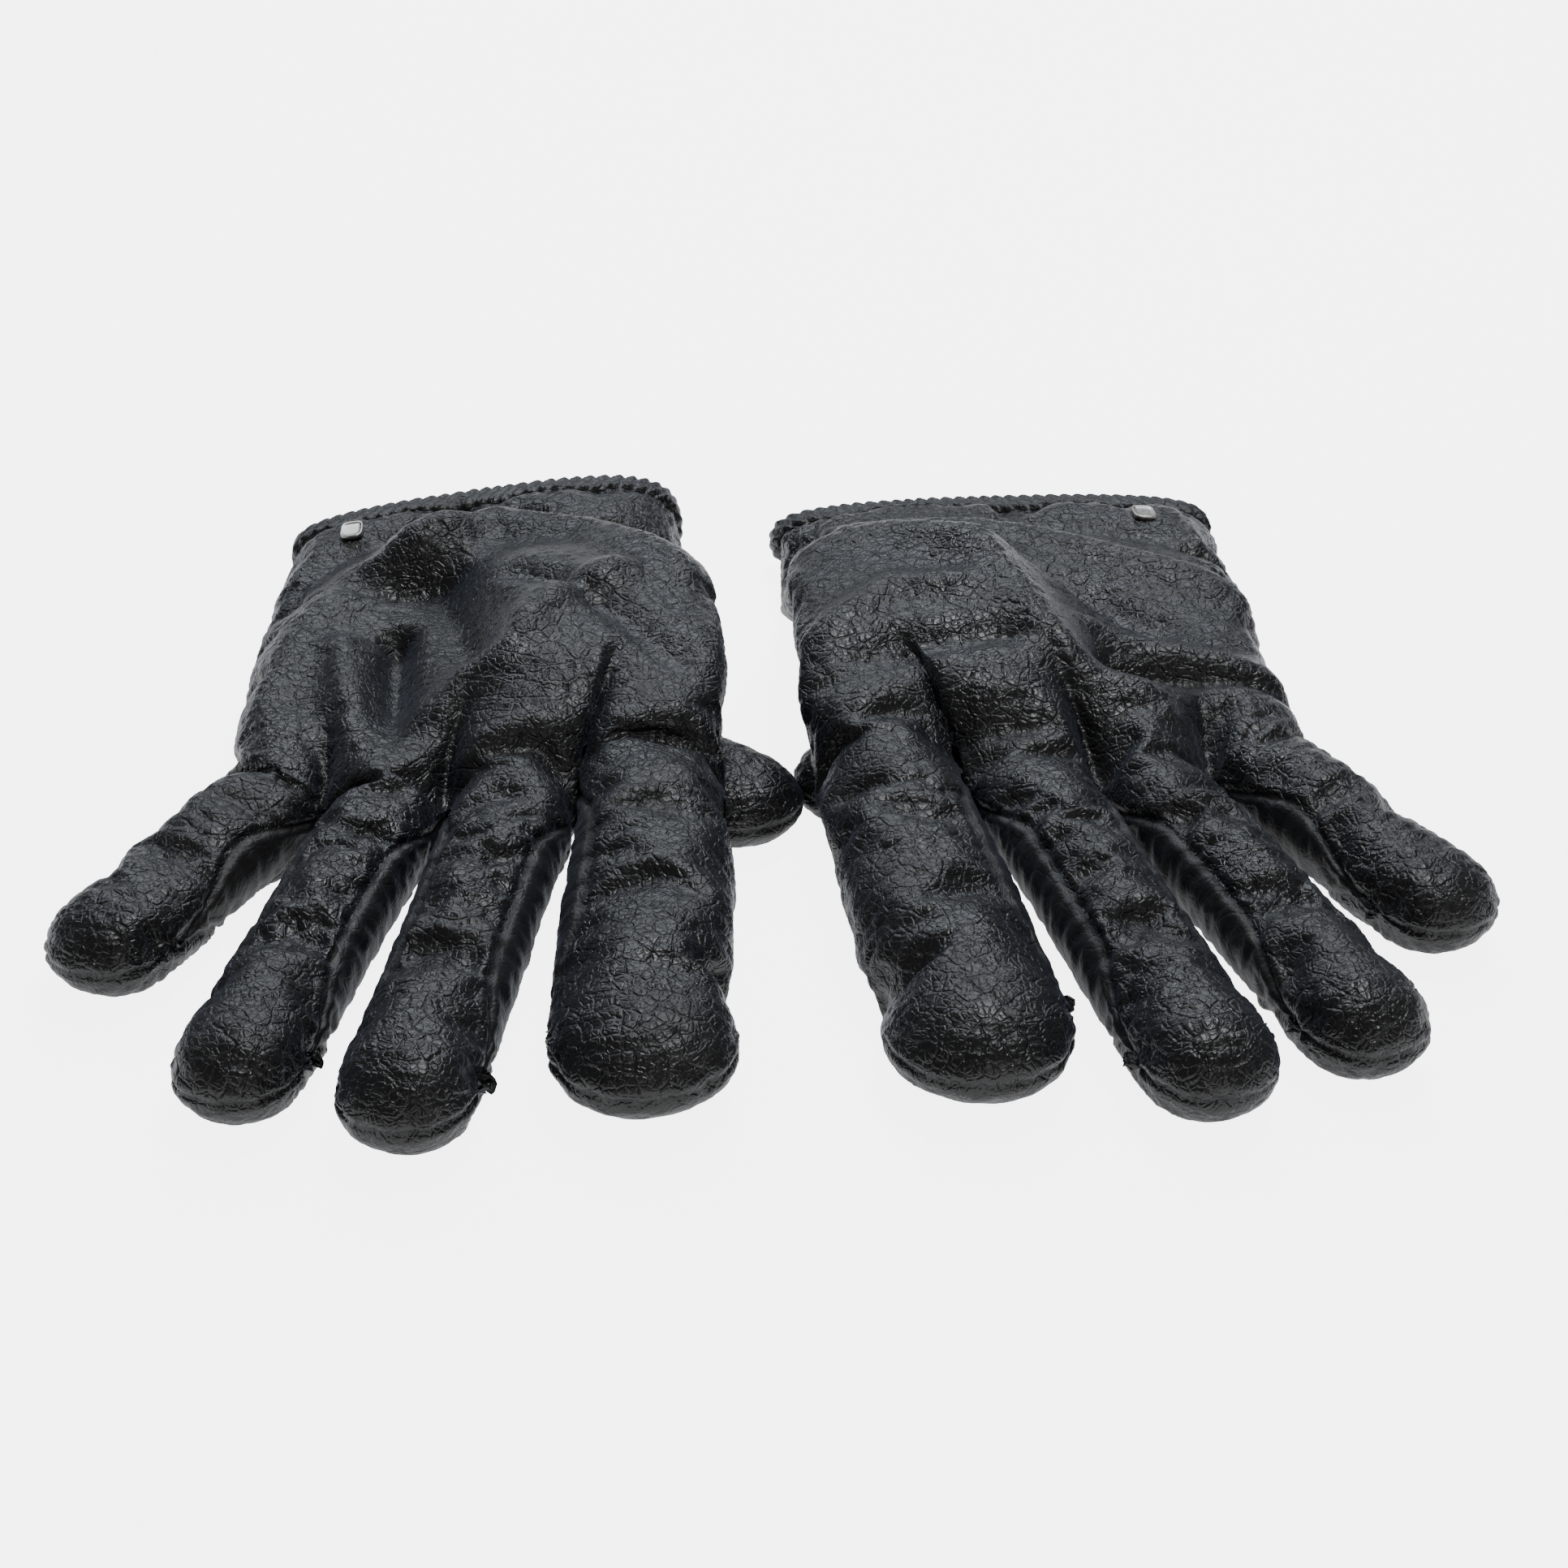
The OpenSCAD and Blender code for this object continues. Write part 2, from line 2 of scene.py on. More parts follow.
# # A pair of leather dress gloves
#
# Two lined gloves of black nappa lie palm down on a pale table. Each one is cut from flat panels and sewn:
# a back and a palm that run on into the fingers, narrow side strips between the fingers, a thumb set in
# from below, a turned hem, and a knitted lining. This lesson builds them panel by panel around the design's
# frame, so that every finger starts at its own hinge and points where that hinge's axis says.

# %% Load the frame
import json
import math
import bpy
import numpy as np
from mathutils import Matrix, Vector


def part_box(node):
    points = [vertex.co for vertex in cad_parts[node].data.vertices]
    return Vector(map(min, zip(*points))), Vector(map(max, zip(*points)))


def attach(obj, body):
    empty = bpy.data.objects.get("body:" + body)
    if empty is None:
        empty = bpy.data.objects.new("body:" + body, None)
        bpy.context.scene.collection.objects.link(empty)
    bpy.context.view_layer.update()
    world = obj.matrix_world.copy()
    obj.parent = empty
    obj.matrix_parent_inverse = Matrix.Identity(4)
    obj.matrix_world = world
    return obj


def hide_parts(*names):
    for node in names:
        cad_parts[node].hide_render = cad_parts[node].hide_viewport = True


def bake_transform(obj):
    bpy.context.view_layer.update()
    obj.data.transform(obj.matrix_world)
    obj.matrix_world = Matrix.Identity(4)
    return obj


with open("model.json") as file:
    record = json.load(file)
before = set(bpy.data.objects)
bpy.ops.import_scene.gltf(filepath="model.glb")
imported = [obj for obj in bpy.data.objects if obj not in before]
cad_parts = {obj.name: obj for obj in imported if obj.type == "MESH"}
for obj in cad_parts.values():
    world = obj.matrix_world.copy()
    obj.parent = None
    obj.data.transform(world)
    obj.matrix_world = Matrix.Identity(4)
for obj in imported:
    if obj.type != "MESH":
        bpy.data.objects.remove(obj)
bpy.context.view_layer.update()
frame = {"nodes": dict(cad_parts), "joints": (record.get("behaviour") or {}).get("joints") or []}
MM = 0.001

# %% [markdown]
# ## Camera, table and light
#
# The gloves are looked at from the fingertips, about thirty degrees above the table, with a longish lens,
# so that the fingers fan towards the viewer. Black leather shows its shape almost only by what it
# reflects. A small lamp would leave it flat, so two wide soft panels stand behind and above the gloves:
# their long cool reflections draw each fold, and a weaker one in front fills the fingertips.

# %% Camera
camera_data = bpy.data.cameras.new("camera")
camera_data.sensor_width = 36
camera_data.lens = 68.2
camera = bpy.data.objects.new("camera", camera_data)
camera.location = (0.0008, -0.5588, 0.326)
camera.rotation_euler = (math.radians(90 - 29.8), 0, 0)
bpy.context.scene.collection.objects.link(camera)
bpy.context.scene.camera = camera


# %% Small helpers for objects and materials
def new_object(name, corners, faces, rounded=True):
    """A mesh object in the scene from corners in metres and lists of corner numbers."""
    mesh = bpy.data.meshes.new(name)
    mesh.from_pydata(corners, [], faces)
    mesh.update()
    if rounded:
        mesh.shade_smooth()
    thing = bpy.data.objects.new(name, mesh)
    bpy.context.scene.collection.objects.link(thing)
    return thing


def new_material(name):
    """An empty node material with its shader and output, and short ways to add and join nodes."""
    material = bpy.data.materials.new(name)
    material.use_nodes = True
    tree = material.node_tree
    shader = tree.nodes["Principled BSDF"]

    def add(kind, **settings):
        node = tree.nodes.new(kind)
        for key, value in settings.items():
            if key in node.inputs:
                node.inputs[key].default_value = value
            else:
                setattr(node, key, value)
        return node

    def join(source, target):
        tree.links.new(source, target)

    return material, shader, add, join


# %% Table and lights
TABLE_HALF, TABLE_TOP = 6.0, -0.0004
table_corners = [(x * TABLE_HALF, y * TABLE_HALF, TABLE_TOP) for x, y in ((-1, -1), (1, -1), (1, 1), (-1, 1))]
table = new_object("table", table_corners, [(0, 1, 2, 3)], rounded=False)
table_paint, shader, add, join = new_material("white_table")
shader.inputs["Base Color"].default_value = (0.93, 0.93, 0.93, 1)
shader.inputs["Roughness"].default_value = 0.6
shader.inputs["Emission Color"].default_value = (1, 1, 1, 1)
seen = add("ShaderNodeLightPath")
strength = add("ShaderNodeMapRange")
strength.inputs["To Min"].default_value, strength.inputs["To Max"].default_value = 0.8, 5.0
join(seen.outputs["Is Camera Ray"], strength.inputs["Value"])
join(strength.outputs["Result"], shader.inputs["Emission Strength"])
table.data.materials.append(table_paint)


def soft_panel(name, place, aim, size, power, colour):
    """A rectangular lamp at place, turned so that its face looks at aim."""
    lamp = bpy.data.lights.new(name, "AREA")
    lamp.shape = "RECTANGLE"
    lamp.size, lamp.size_y = size
    lamp.energy = power
    lamp.color = colour
    thing = bpy.data.objects.new(name, lamp)
    thing.location = place
    step = np.array(aim, float) - np.array(place, float)
    tilt = math.atan2(math.hypot(step[0], step[1]), -step[2])
    thing.rotation_euler = (tilt, 0, math.atan2(step[1], step[0]) - math.pi / 2)
    bpy.context.scene.collection.objects.link(thing)


soft_panel("back_panel", (-0.1, 1.25, 1.0), (0, 0, 0), (1.7, 0.7), 11, (0.84, 0.91, 1.0))
soft_panel("top_panel", (0.25, 0.25, 1.3), (0, 0, 0), (0.5, 0.4), 8, (0.97, 0.98, 1))
soft_panel("front_panel", (0.6, -1.5, 0.8), (0, 0, 0), (0.8, 0.5), 2.5, (1, 0.99, 0.97))
world = bpy.data.worlds.new("studio")
world.use_nodes = True
world.node_tree.nodes["Background"].inputs["Color"].default_value = (1, 1, 1, 1)
world.node_tree.nodes["Background"].inputs["Strength"].default_value = 0.15
bpy.context.scene.world = world

# %% [markdown]
# ## Measuring the design
#
# Nothing here is placed by eye. Each finger hangs on a hinge of the design, whose place and axis say where
# the finger starts and where it points, and the design's own panels say how long, wide and high it is.
# Each glove is described in its own flat coordinates, in millimetres: x towards the thumb, y towards the
# cuff and z up. The left glove is the right one mirrored, so one set of formulas makes both.

# %% Numbers used by both gloves
SIDES = ("right", "left")
MIRROR = {"right": 1, "left": -1}
TURN = {"right": math.radians(2.9), "left": math.radians(4.2)}
FINGERS = ("index", "middle", "ring", "little")
ROUNDNESS = 2.12      # 2 is an oval section, more is squarer
WEB = -7.0            # the fingers part this far behind their hinges
ACROSS = 18           # columns across one finger's back
SIDEWAYS = 8          # columns across a side strip
ROW = 1.6             # length of a row along the glove
TIP_ROWS = 12
ROOT_HALF = 10.0      # half the height of a finger at its root, and of the hand there
LOWEST = 0.3          # no leather lies lower than this, in millimetres
joints = {j["name"]: j for j in frame["joints"]}


def smooth(x):
    """0 before 0, 1 after 1, and an even slope between."""
    x = np.clip(x, 0, 1)
    return x * x * (3 - 2 * x)


def mix(a, b, t):
    return a + (b - a) * t


def signed_pow(v, power):
    return np.sign(v) * np.abs(v) ** power


def glove_axes(side):
    """The glove's x and y axes on the table: y turned by its angle, x across it towards the thumb."""
    c, s = math.cos(TURN[side]), math.sin(TURN[side])
    return MIRROR[side] * np.array([c, s]), np.array([-s, c])


def origin(side):
    """Half way between the hinges of the index and the little finger."""
    ends = [np.array(joints[f"{side}_{n}_curl"]["pos_m"][:2]) / MM for n in ("index", "little")]
    return (ends[0] + ends[1]) / 2


def to_glove(side, points):
    """Points of the frame, in metres, in the glove's millimetres."""
    points = np.asarray(points, float) / MM
    x_axis, y_axis = glove_axes(side)
    flat = points[..., :2] - origin(side)
    return np.stack([flat @ x_axis, flat @ y_axis, points[..., 2]], -1)


def to_frame(side, points):
    """The way back, from the glove's millimetres to the frame's metres."""
    x_axis, y_axis = glove_axes(side)
    flat = origin(side) + points[..., :1] * x_axis + points[..., 1:2] * y_axis
    return np.concatenate([flat, points[..., 2:]], -1) * MM


def node_points(side, *names):
    """Every corner of these design nodes, in the glove's millimetres."""
    stacks = []
    for name in names:
        mesh = frame["nodes"][f"{side}_{name}"].data
        flat = np.empty(len(mesh.vertices) * 3, np.float32)
        mesh.vertices.foreach_get("co", flat)
        stacks.append(flat.reshape(-1, 3))
    return to_glove(side, np.concatenate(stacks))


def measure_digit(side, joint_name, *nodes):
    """A finger's or thumb's root, direction, sideways direction, length, widths and height."""
    joint = joints[f"{side}_{joint_name}"]
    root = to_glove(side, joint["pos_m"])
    ahead = np.cross((0, 0, -1), joint["axis"])
    x_axis, y_axis = glove_axes(side)
    ahead = np.array([ahead[:2] @ x_axis, ahead[:2] @ y_axis])
    beside = np.array([-ahead[1], ahead[0]])
    points = node_points(side, *nodes)
    flat = points[:, :2] - root[:2]
    along, lateral = flat @ ahead, flat @ beside
    near = along < 9
    return dict(root=root, ahead=ahead, beside=beside, length=along.max(), full=2 * np.abs(lateral).max(),
                narrow=2 * np.abs(lateral[near]).max(), height=np.ptp(points[along > 0.6 * along.max()][:, 2]),
                root_height=np.ptp(points[near][:, 2]))


def measure_glove(side):
    hem = node_points(side, "cuff_hem")
    lift = to_glove(side, joints[f"{side}_thumb_swing"]["pos_m"])[2] * 2
    return dict(side=side, lift=lift + 0.8, hem_y=hem[:, 1].max() - 1.5,
                hem_x=(hem[:, 0].min() + hem[:, 0].max()) / 2,
                hem_half=np.ptp(hem[:, 0]) / 2 - 1.0, hem_height=hem[:, 2].max(),
                fingers=[measure_digit(side, f"{n}_curl", f"{n}_back", f"{n}_palm") for n in FINGERS],
                thumb=measure_digit(side, "thumb_swing", "thumb_back", "thumb_front"))


gloves = {side: measure_glove(side) for side in SIDES}
for side in SIDES:
    print(side, "hem at", round(gloves[side]["hem_y"]), "fingers",
          [[round(f[key]) for key in ("length", "full", "narrow", "height")] for f in gloves[side]["fingers"]])

# %% [markdown]
# ## The shape of a finger
#
# A gloved finger is a soft tube that is narrow at the web, fullest beyond its middle and round at the tip.
# A plain tube ends in one pole where all its columns meet, and leather pinched into a point looks wrong
# there. Instead the rows of the tip fan out like the segments of an orange, from one side seam to the
# other, so back and palm meet in a seam round the fingertip as they do on a sewn glove.


# %% Finger surface
def digit_shape(digit, t):
    """Half width, half height and middle height at t along a finger: each runs smoothly from root to tip."""
    grow = smooth(t / (0.55 * digit["length"]))
    half_width = mix(digit["narrow"], digit["full"], grow) / 2
    half_height = mix(digit["root_half"], digit["tip_half"], grow)
    middle = mix(digit["root_middle"], digit["tip_half"], smooth(t / (0.8 * digit["length"])))
    return half_width, half_height, middle


def digit_surface(digit, t, phi, fan):
    """A section's point at angle phi from the side over the back is (a cos, b sin), squared up by ROUNDNESS.
    In the tip the sine part turns from up to ahead by the angle fan."""
    half_width, half_height, middle = digit_shape(digit, t)
    lateral = half_width * signed_pow(np.cos(phi), 2 / ROUNDNESS)
    swell = signed_pow(np.sin(phi), 2 / ROUNDNESS)
    along = t + digit["tip"] * np.abs(swell) * np.sin(fan)
    flat = digit["root"][:2] + lateral[..., None] * digit["beside"] + along[..., None] * digit["ahead"]
    return np.concatenate([flat, (middle + half_height * swell * np.cos(fan))[..., None]], -1)


def digit_rows(digit, start):
    """Distances along the finger and fan angles of its rows: the body first, then the tip."""
    straight = digit["length"] - digit["tip"]
    body = np.linspace(start, straight, int((straight - start) / ROW))
    fans = np.linspace(0, math.pi / 2, TIP_ROWS + 1)[1:]
    t = np.concatenate([body, np.full(TIP_ROWS, straight)])
    return t, np.concatenate([np.zeros(len(body)), fans]), len(body)


def strip_angle(digit, t):
    """Half the angle that a side strip covers: nearly none at the web, then wide, and nothing at the tip."""
    straight = digit["length"] - digit["tip"]
    widening = smooth((t - WEB) / 24)
    closing = smooth((straight - t) / 30)
    return np.radians(mix(6, 46, widening) * closing)


def panel(digit, t, fan, low, high, columns):
    """A grid of the finger's surface between two angles, which may change along it."""
    share = np.linspace(0, 1, columns + 1)
    phi = low[:, None] + (high - low)[:, None] * share
    t, fan = np.broadcast_to(t[:, None], phi.shape), np.broadcast_to(fan[:, None], phi.shape)
    return digit_surface(digit, t, phi, fan)


def finger_grids(glove, number):
    """The panels of one finger: back, palm, and the strips on its inner and outer side where it has them."""
    digit = glove["fingers"][number]
    t, fan, body = digit_rows(digit, WEB)
    none = np.zeros(len(t))
    inner = strip_angle(digit, t) if number > 0 else none
    outer = strip_angle(digit, t) if number < 3 else none
    half = math.pi
    grids = {"back": panel(digit, t, fan, inner, half - outer, ACROSS),
             "palm": panel(digit, t, fan, 2 * half - inner, half + outer, ACROSS)}
    if number > 0:
        grids["inner_fourchette"] = panel(digit, t[:body], fan[:body], inner[:body], -inner[:body], SIDEWAYS)
    if number < 3:
        grids["outer_fourchette"] = panel(digit, t[:body], fan[:body], half - outer[:body], half + outer[:body],
                                          SIDEWAYS)
    return grids


def set_digit_sizes(glove):
    """Heights that the shape needs, and how long the round tip is."""
    for digit in glove["fingers"]:
        digit["root_half"] = ROOT_HALF
        digit["root_middle"] = digit["root"][2]
        digit["tip_half"] = digit["height"] / 2
        digit["tip"] = 1.12 * digit["full"] / 2


for side in SIDES:
    set_digit_sizes(gloves[side])

# %% [markdown]
# ## The hand
#
# Back and palm run from the hem to the web without a seam, so each is one grid whose last row is the four
# finger roots side by side. At the hem its section is a flattened oval, and on the way to the fingers
# it turns into that row. The thumb lies under the palm and lifts that side. Leather that has been
# worn keeps its big folds, so they are laid into the back as ridges and valleys along a few lines.

# %% The folds of each back: points, half width and height of each ridge or valley
FOLDS = {
    "right": [
        ([(-44, 30), (-34, 69), (-20, 94), (-5, 104)], 9, 4.0),
        ([(-12, 104), (6, 114), (28, 100), (50, 71)], 9, 4.0),
        ([(-22, 88), (-6, 88), (-1, 66), (5, 38)], 7, -4.5),
        ([(-14, 62), (-13, 26), (-11, -4)], 4.5, -5.0),
        ([(-25, 56), (-21, 23), (-23, -4)], 6, 3.5),
        ([(-3, 20), (9, 32), (23, 55), (33, 64)], 7, 3.0),
        ([(12, 70), (33, 48), (52, 19)], 5, -2.6),
        ([(2, 6), (28, 10), (54, 12)], 5, 2.0),
        ([(7, -1), (30, 2), (56, 2)], 3.5, -2.2),
        ([(-6, -12), (13, -8), (54, -10)], 4, -1.8),
        ([(-48, 66), (-44, 50), (-50, 38)], 5, -2.2),
        ([(-44, 84), (-30, 112), (-6, 130)], 6, -2.0)],
    "left": [
        ([(54, 83), (33, 84), (15, 70), (6, 43), (-1, 24), (-20, 14)], 9, 4.2),
        ([(42, 113), (10, 111), (-22, 90), (-53, 71)], 8, 3.4),
        ([(52, 99), (22, 97), (-4, 78), (-24, 60)], 7, -3.2),
        ([(54, 36), (36, 52), (22, 50)], 6, 2.6),
        ([(52, 22), (34, 30), (14, 32)], 6, -3.0),
        ([(54, 6), (32, 8), (12, 4)], 5, -2.4),
        ([(-7, 48), (-28, 42), (-53, 37)], 6, 2.6),
        ([(-8, 34), (-30, 34), (-54, 29)], 5, -2.8),
        ([(-13, 20), (-32, 25), (-55, 20)], 6, 2.6),
        ([(56, -13), (40, -6), (31, -20)], 4, -2.4),
        ([(27, 5), (3, -6), (-21, -2)], 5, -2.4),
        ([(0, 124), (-30, 112), (-52, 96)], 6, -2.0)]}


# %% Hand surface
def distance_to_line(x, y, points):
    """Smallest distance from each place to a chain of straight stretches."""
    best = np.full(np.shape(x), 1e9)
    for (x0, y0), (x1, y1) in zip(points, points[1:]):
        dx, dy = x1 - x0, y1 - y0
        share = np.clip(((x - x0) * dx + (y - y0) * dy) / (dx * dx + dy * dy), 0, 1)
        best = np.minimum(best, np.hypot(x - x0 - share * dx, y - y0 - share * dy))
    return best


def fold_height(side, x, y):
    """Every fold is a bell-shaped ridge or valley round its line: height * exp(-(distance / width) ** 2)."""
    total = np.zeros(np.shape(x))
    for points, width, height in FOLDS[side]:
        total += 1.3 * height * np.exp(-(distance_to_line(x, y, points) / (0.82 * width)) ** 2)
    return total


def even_section(columns):
    """Points of a flat superellipse's upper half, spaced evenly along its length."""
    turn = np.linspace(0, math.pi, 2001)
    x, z = signed_pow(np.cos(turn), 2 / 3), signed_pow(np.sin(turn), 2 / 3)
    run = np.concatenate([[0], np.cumsum(np.hypot(np.diff(x) * 5, np.diff(z)))])
    even = np.linspace(0, run[-1], columns + 1)
    return np.interp(even, run, x), np.interp(even, run, z)


def web_rows(grids):
    """Joins neighbouring fingers at the webs: their side strips start on one line, half way between both."""
    for left, right in zip(grids, grids[1:]):
        shared = (left["outer_fourchette"][0] + right["inner_fourchette"][0]) / 2
        left["outer_fourchette"][0] = right["inner_fourchette"][0] = shared
        left["back"][0, -1] = right["back"][0, 0] = shared[0]
        left["palm"][0, -1] = right["palm"][0, 0] = shared[-1]


def hand_grid(glove, roots, top):
    """Blends the hem's flat oval into the row of finger roots, and adds the thumb's lift and the folds."""
    side = glove["side"]
    section_x, section_z = even_section(len(roots) - 1)
    rows = int((glove["hem_y"] - WEB) / ROW)
    v = np.linspace(0, 1, rows + 1)[:, None]
    edge_in, edge_out = roots[0, 0], roots[-1, 0]
    half_width = mix(glove["hem_half"], (edge_in - edge_out) / 2, smooth(v / 0.75))
    middle = mix(glove["hem_x"], (edge_in + edge_out) / 2, smooth(v))
    tilt = (0.28 if side == "right" else 0.0) * (1 - smooth(v / 0.6))
    half_height = mix(glove["hem_height"] / 2 - 0.8, ROOT_HALF, smooth(v / 0.5)) * (1 + tilt * section_x)
    x = middle + half_width * section_x
    y = mix(glove["hem_y"], roots[:, 1], v)
    up = 1 if top else -1
    z = half_height * (1 + up * section_z)
    lift = glove["lift"] * smooth((x + 18) / 36) * smooth((y + 30) / 34) * (1 - smooth((y - 66) / 50))
    z = z + lift
    into_roots = smooth((v - 0.74) / 0.26)
    x = mix(x, roots[:, 0], into_roots)
    z = mix(z, roots[:, 2], into_roots)
    if top:
        z = z + fold_height(side, x, y) * np.clip(section_z * 1.6 - 0.5, 0, 1) * (1 - into_roots)
    else:
        z = np.maximum(z, thumb_top(glove["thumb"], x, y) * (1 - into_roots ** 4))
    return np.stack([x, y, np.maximum(z, LOWEST)], -1)


def thumb_half_height(t):
    """Half the thumb's height at t from its hinge: it fills out a little where it leaves the hand."""
    return mix(6.3, 8.2, smooth((t - 6) / 22))


def thumb_top(digit, x, y):
    """The height that the palm needs to clear the thumb under it, falling to nothing beside and beyond it."""
    flat = np.stack([x, y], -1) - digit["root"][:2]
    t, aside = flat @ digit["ahead"], np.abs(flat @ digit["beside"])
    beyond = smooth((t - digit["length"] + 9) / 9)
    behind = smooth((-t - 30) / 14)
    return (2 * thumb_half_height(t) + 1.6) * (1 - smooth((aside - 11) / 7)) * (1 - beyond) * (1 - behind)


def glove_grids(glove):
    """Every leather panel of a glove but the thumb, by name."""
    fingers = [finger_grids(glove, n) for n in range(4)]
    web_rows(fingers)
    panels = {f"{name}_{kind}": grid for name, grids in zip(FINGERS, fingers) for kind, grid in grids.items()}
    for kind in ("back", "palm"):
        roots = np.concatenate([fingers[0][kind][0]] + [f[kind][0, 1:] for f in fingers[1:]])
        panels[f"hand_{kind}"] = hand_grid(glove, roots, kind == "back")
    for row_end in (0, -1):
        shared = (panels["hand_back"][:, row_end] + panels["hand_palm"][:, row_end]) / 2
        panels["hand_back"][:, row_end] = panels["hand_palm"][:, row_end] = shared
    return panels


def thumb_grids(glove):
    """The thumb is a flat closed bag under the palm that fills out where it leaves the hand."""
    digit = glove["thumb"]
    digit["tip"] = digit["full"] / 2
    straight = digit["length"] - digit["tip"]
    t = np.linspace(-20, straight, int((straight + 20) / ROW))
    fans = np.linspace(0, math.pi / 2, TIP_ROWS + 1)[1:]
    ends = np.concatenate([np.full(TIP_ROWS, t[0]), t, np.full(TIP_ROWS, straight)])
    fan = np.concatenate([-fans[::-1], np.zeros(len(t)), fans])
    phi = np.linspace(0, math.pi, ACROSS + 1)
    half_height = thumb_half_height(ends)[:, None]
    half_width = mix(12.0, digit["full"] / 2, smooth(ends / 24))[:, None]
    swell = signed_pow(np.sin(phi), 2 / ROUNDNESS)
    lateral = half_width * signed_pow(np.cos(phi), 2 / ROUNDNESS)
    along = ends[:, None] + digit["tip"] * swell * np.sin(fan)[:, None]
    flat = digit["root"][:2] + lateral[..., None] * digit["beside"] + along[..., None] * digit["ahead"]
    panels = {}
    for kind, up in (("thumb_back", 1), ("thumb_front", -1)):
        z = half_height * (1 + up * swell * np.cos(fan)[:, None])
        panels[kind] = np.concatenate([flat, np.maximum(z, LOWEST)[..., None]], -1)
    return panels

# %% [markdown]
# ## One skin for the folds
#
# Panels that were wrinkled one by one would gape at their seams. So all panels of a glove are first welded
# into a single skin, where each corner knows its panels, and the wrinkling is done on the skin. Each
# face remembers its panel, and the skin is cut along the seams again at the end.


# %% Weld the panels
def grid_faces(rows, columns):
    """Corner numbers of a grid's quads, row after row."""
    corner = np.arange(rows * columns).reshape(rows, columns)
    return np.stack([corner[:-1, :-1], corner[:-1, 1:], corner[1:, 1:], corner[1:, :-1]], -1).reshape(-1, 4)


def seam_distance(name, grid):
    """Distance of each corner to the nearest sewn edge of its panel, measured along its row."""
    steps = np.linalg.norm(np.diff(grid, axis=1), axis=-1)
    run = np.concatenate([np.zeros((len(grid), 1)), np.cumsum(steps, axis=1)], axis=1)
    first, last = run, run[:, -1:] - run
    if name.startswith("hand"):
        return last
    nearest = last if name in ("index_back", "index_palm") else np.minimum(first, last)
    if "fourchette" not in name:
        steps = np.linalg.norm(np.diff(grid, axis=0), axis=-1)[::-1]
        to_tip = np.concatenate([np.zeros((1, grid.shape[1])), np.cumsum(steps, axis=0)])[::-1]
        nearest = np.minimum(nearest, to_tip + 0.6)
    return nearest


def weld(panels):
    """All panels' corners with doubles merged, the faces, each face's panel, and each corner's seam distance.
    A panel that faces down has its corners in the other order, so that all faces point outwards."""
    corners, faces, owners, seams, count = [], [], [], [], 0
    for number, (name, grid) in enumerate(panels.items()):
        quads = grid_faces(*grid.shape[:2]) + count
        if "palm" in name or "front" in name or "inner" in name:
            quads = quads[:, ::-1]
        corners.append(grid.reshape(-1, 3))
        seams.append(seam_distance(name, grid).ravel())
        faces.append(quads)
        owners.append(np.full(len(quads), number))
        count += grid.shape[0] * grid.shape[1]
    corners, faces, owners = np.concatenate(corners), np.concatenate(faces), np.concatenate(owners)
    seams = np.concatenate(seams)
    cells = np.round(corners / 0.02).astype(np.int64)
    _, first, same = np.unique(cells, axis=0, return_index=True, return_inverse=True)
    same = same.ravel()
    merged_seam = np.full(len(first), 99.0)
    np.minimum.at(merged_seam, same, seams)
    faces = same[faces]
    return corners[first], faces, owners, merged_seam, same


def as_polygons(faces):
    """Quads whose neighbouring corners were merged become triangles, and slivers go."""
    repeated = faces == np.roll(faces, -1, axis=1)
    whole = ~repeated.any(axis=1)
    bent = repeated.sum(axis=1) == 1
    triangles = np.array([row[~again] for row, again in zip(faces[bent], repeated[bent])])
    return whole, bent, triangles


def skin_mesh(name, corners, faces, owners, seams):
    """A Blender mesh of the skin in metres, with the panel number on faces and the seam distance on corners."""
    whole, bent, triangles = as_polygons(faces)
    thing = new_object(name, (corners * MM).tolist(), faces[whole].tolist() + triangles.tolist(), rounded=False)
    mesh = thing.data
    panel_number = mesh.attributes.new("panel", "INT", "FACE")
    panel_number.data.foreach_set("value", np.concatenate([owners[whole], owners[bent]]).astype(np.int32))
    distance = mesh.attributes.new("seam", "FLOAT", "POINT")
    distance.data.foreach_set("value", seams.astype(np.float32))
    mesh.update()
    return thing


# %% [markdown]
# ## Wrinkles by cloth simulation
#
# Worn leather is a little larger than the shape it lies on, and so it buckles. That is how it is made here:
# the skin is let grow by a few per cent while its seams hold it, with a slight pressure from the lining.
# The simulation works at ten times the real size, because Blender's cloth is tuned for clothes. How
# far a point may move is capped, and the result is written back into the mesh.


# %% Cloth
def read_points(mesh):
    flat = np.empty(len(mesh.vertices) * 3, np.float32)
    mesh.vertices.foreach_get("co", flat)
    return flat.reshape(-1, 3).astype(float)


def write_points(mesh, points):
    mesh.vertices.foreach_set("co", np.ascontiguousarray(points, np.float32).ravel())
    mesh.update()


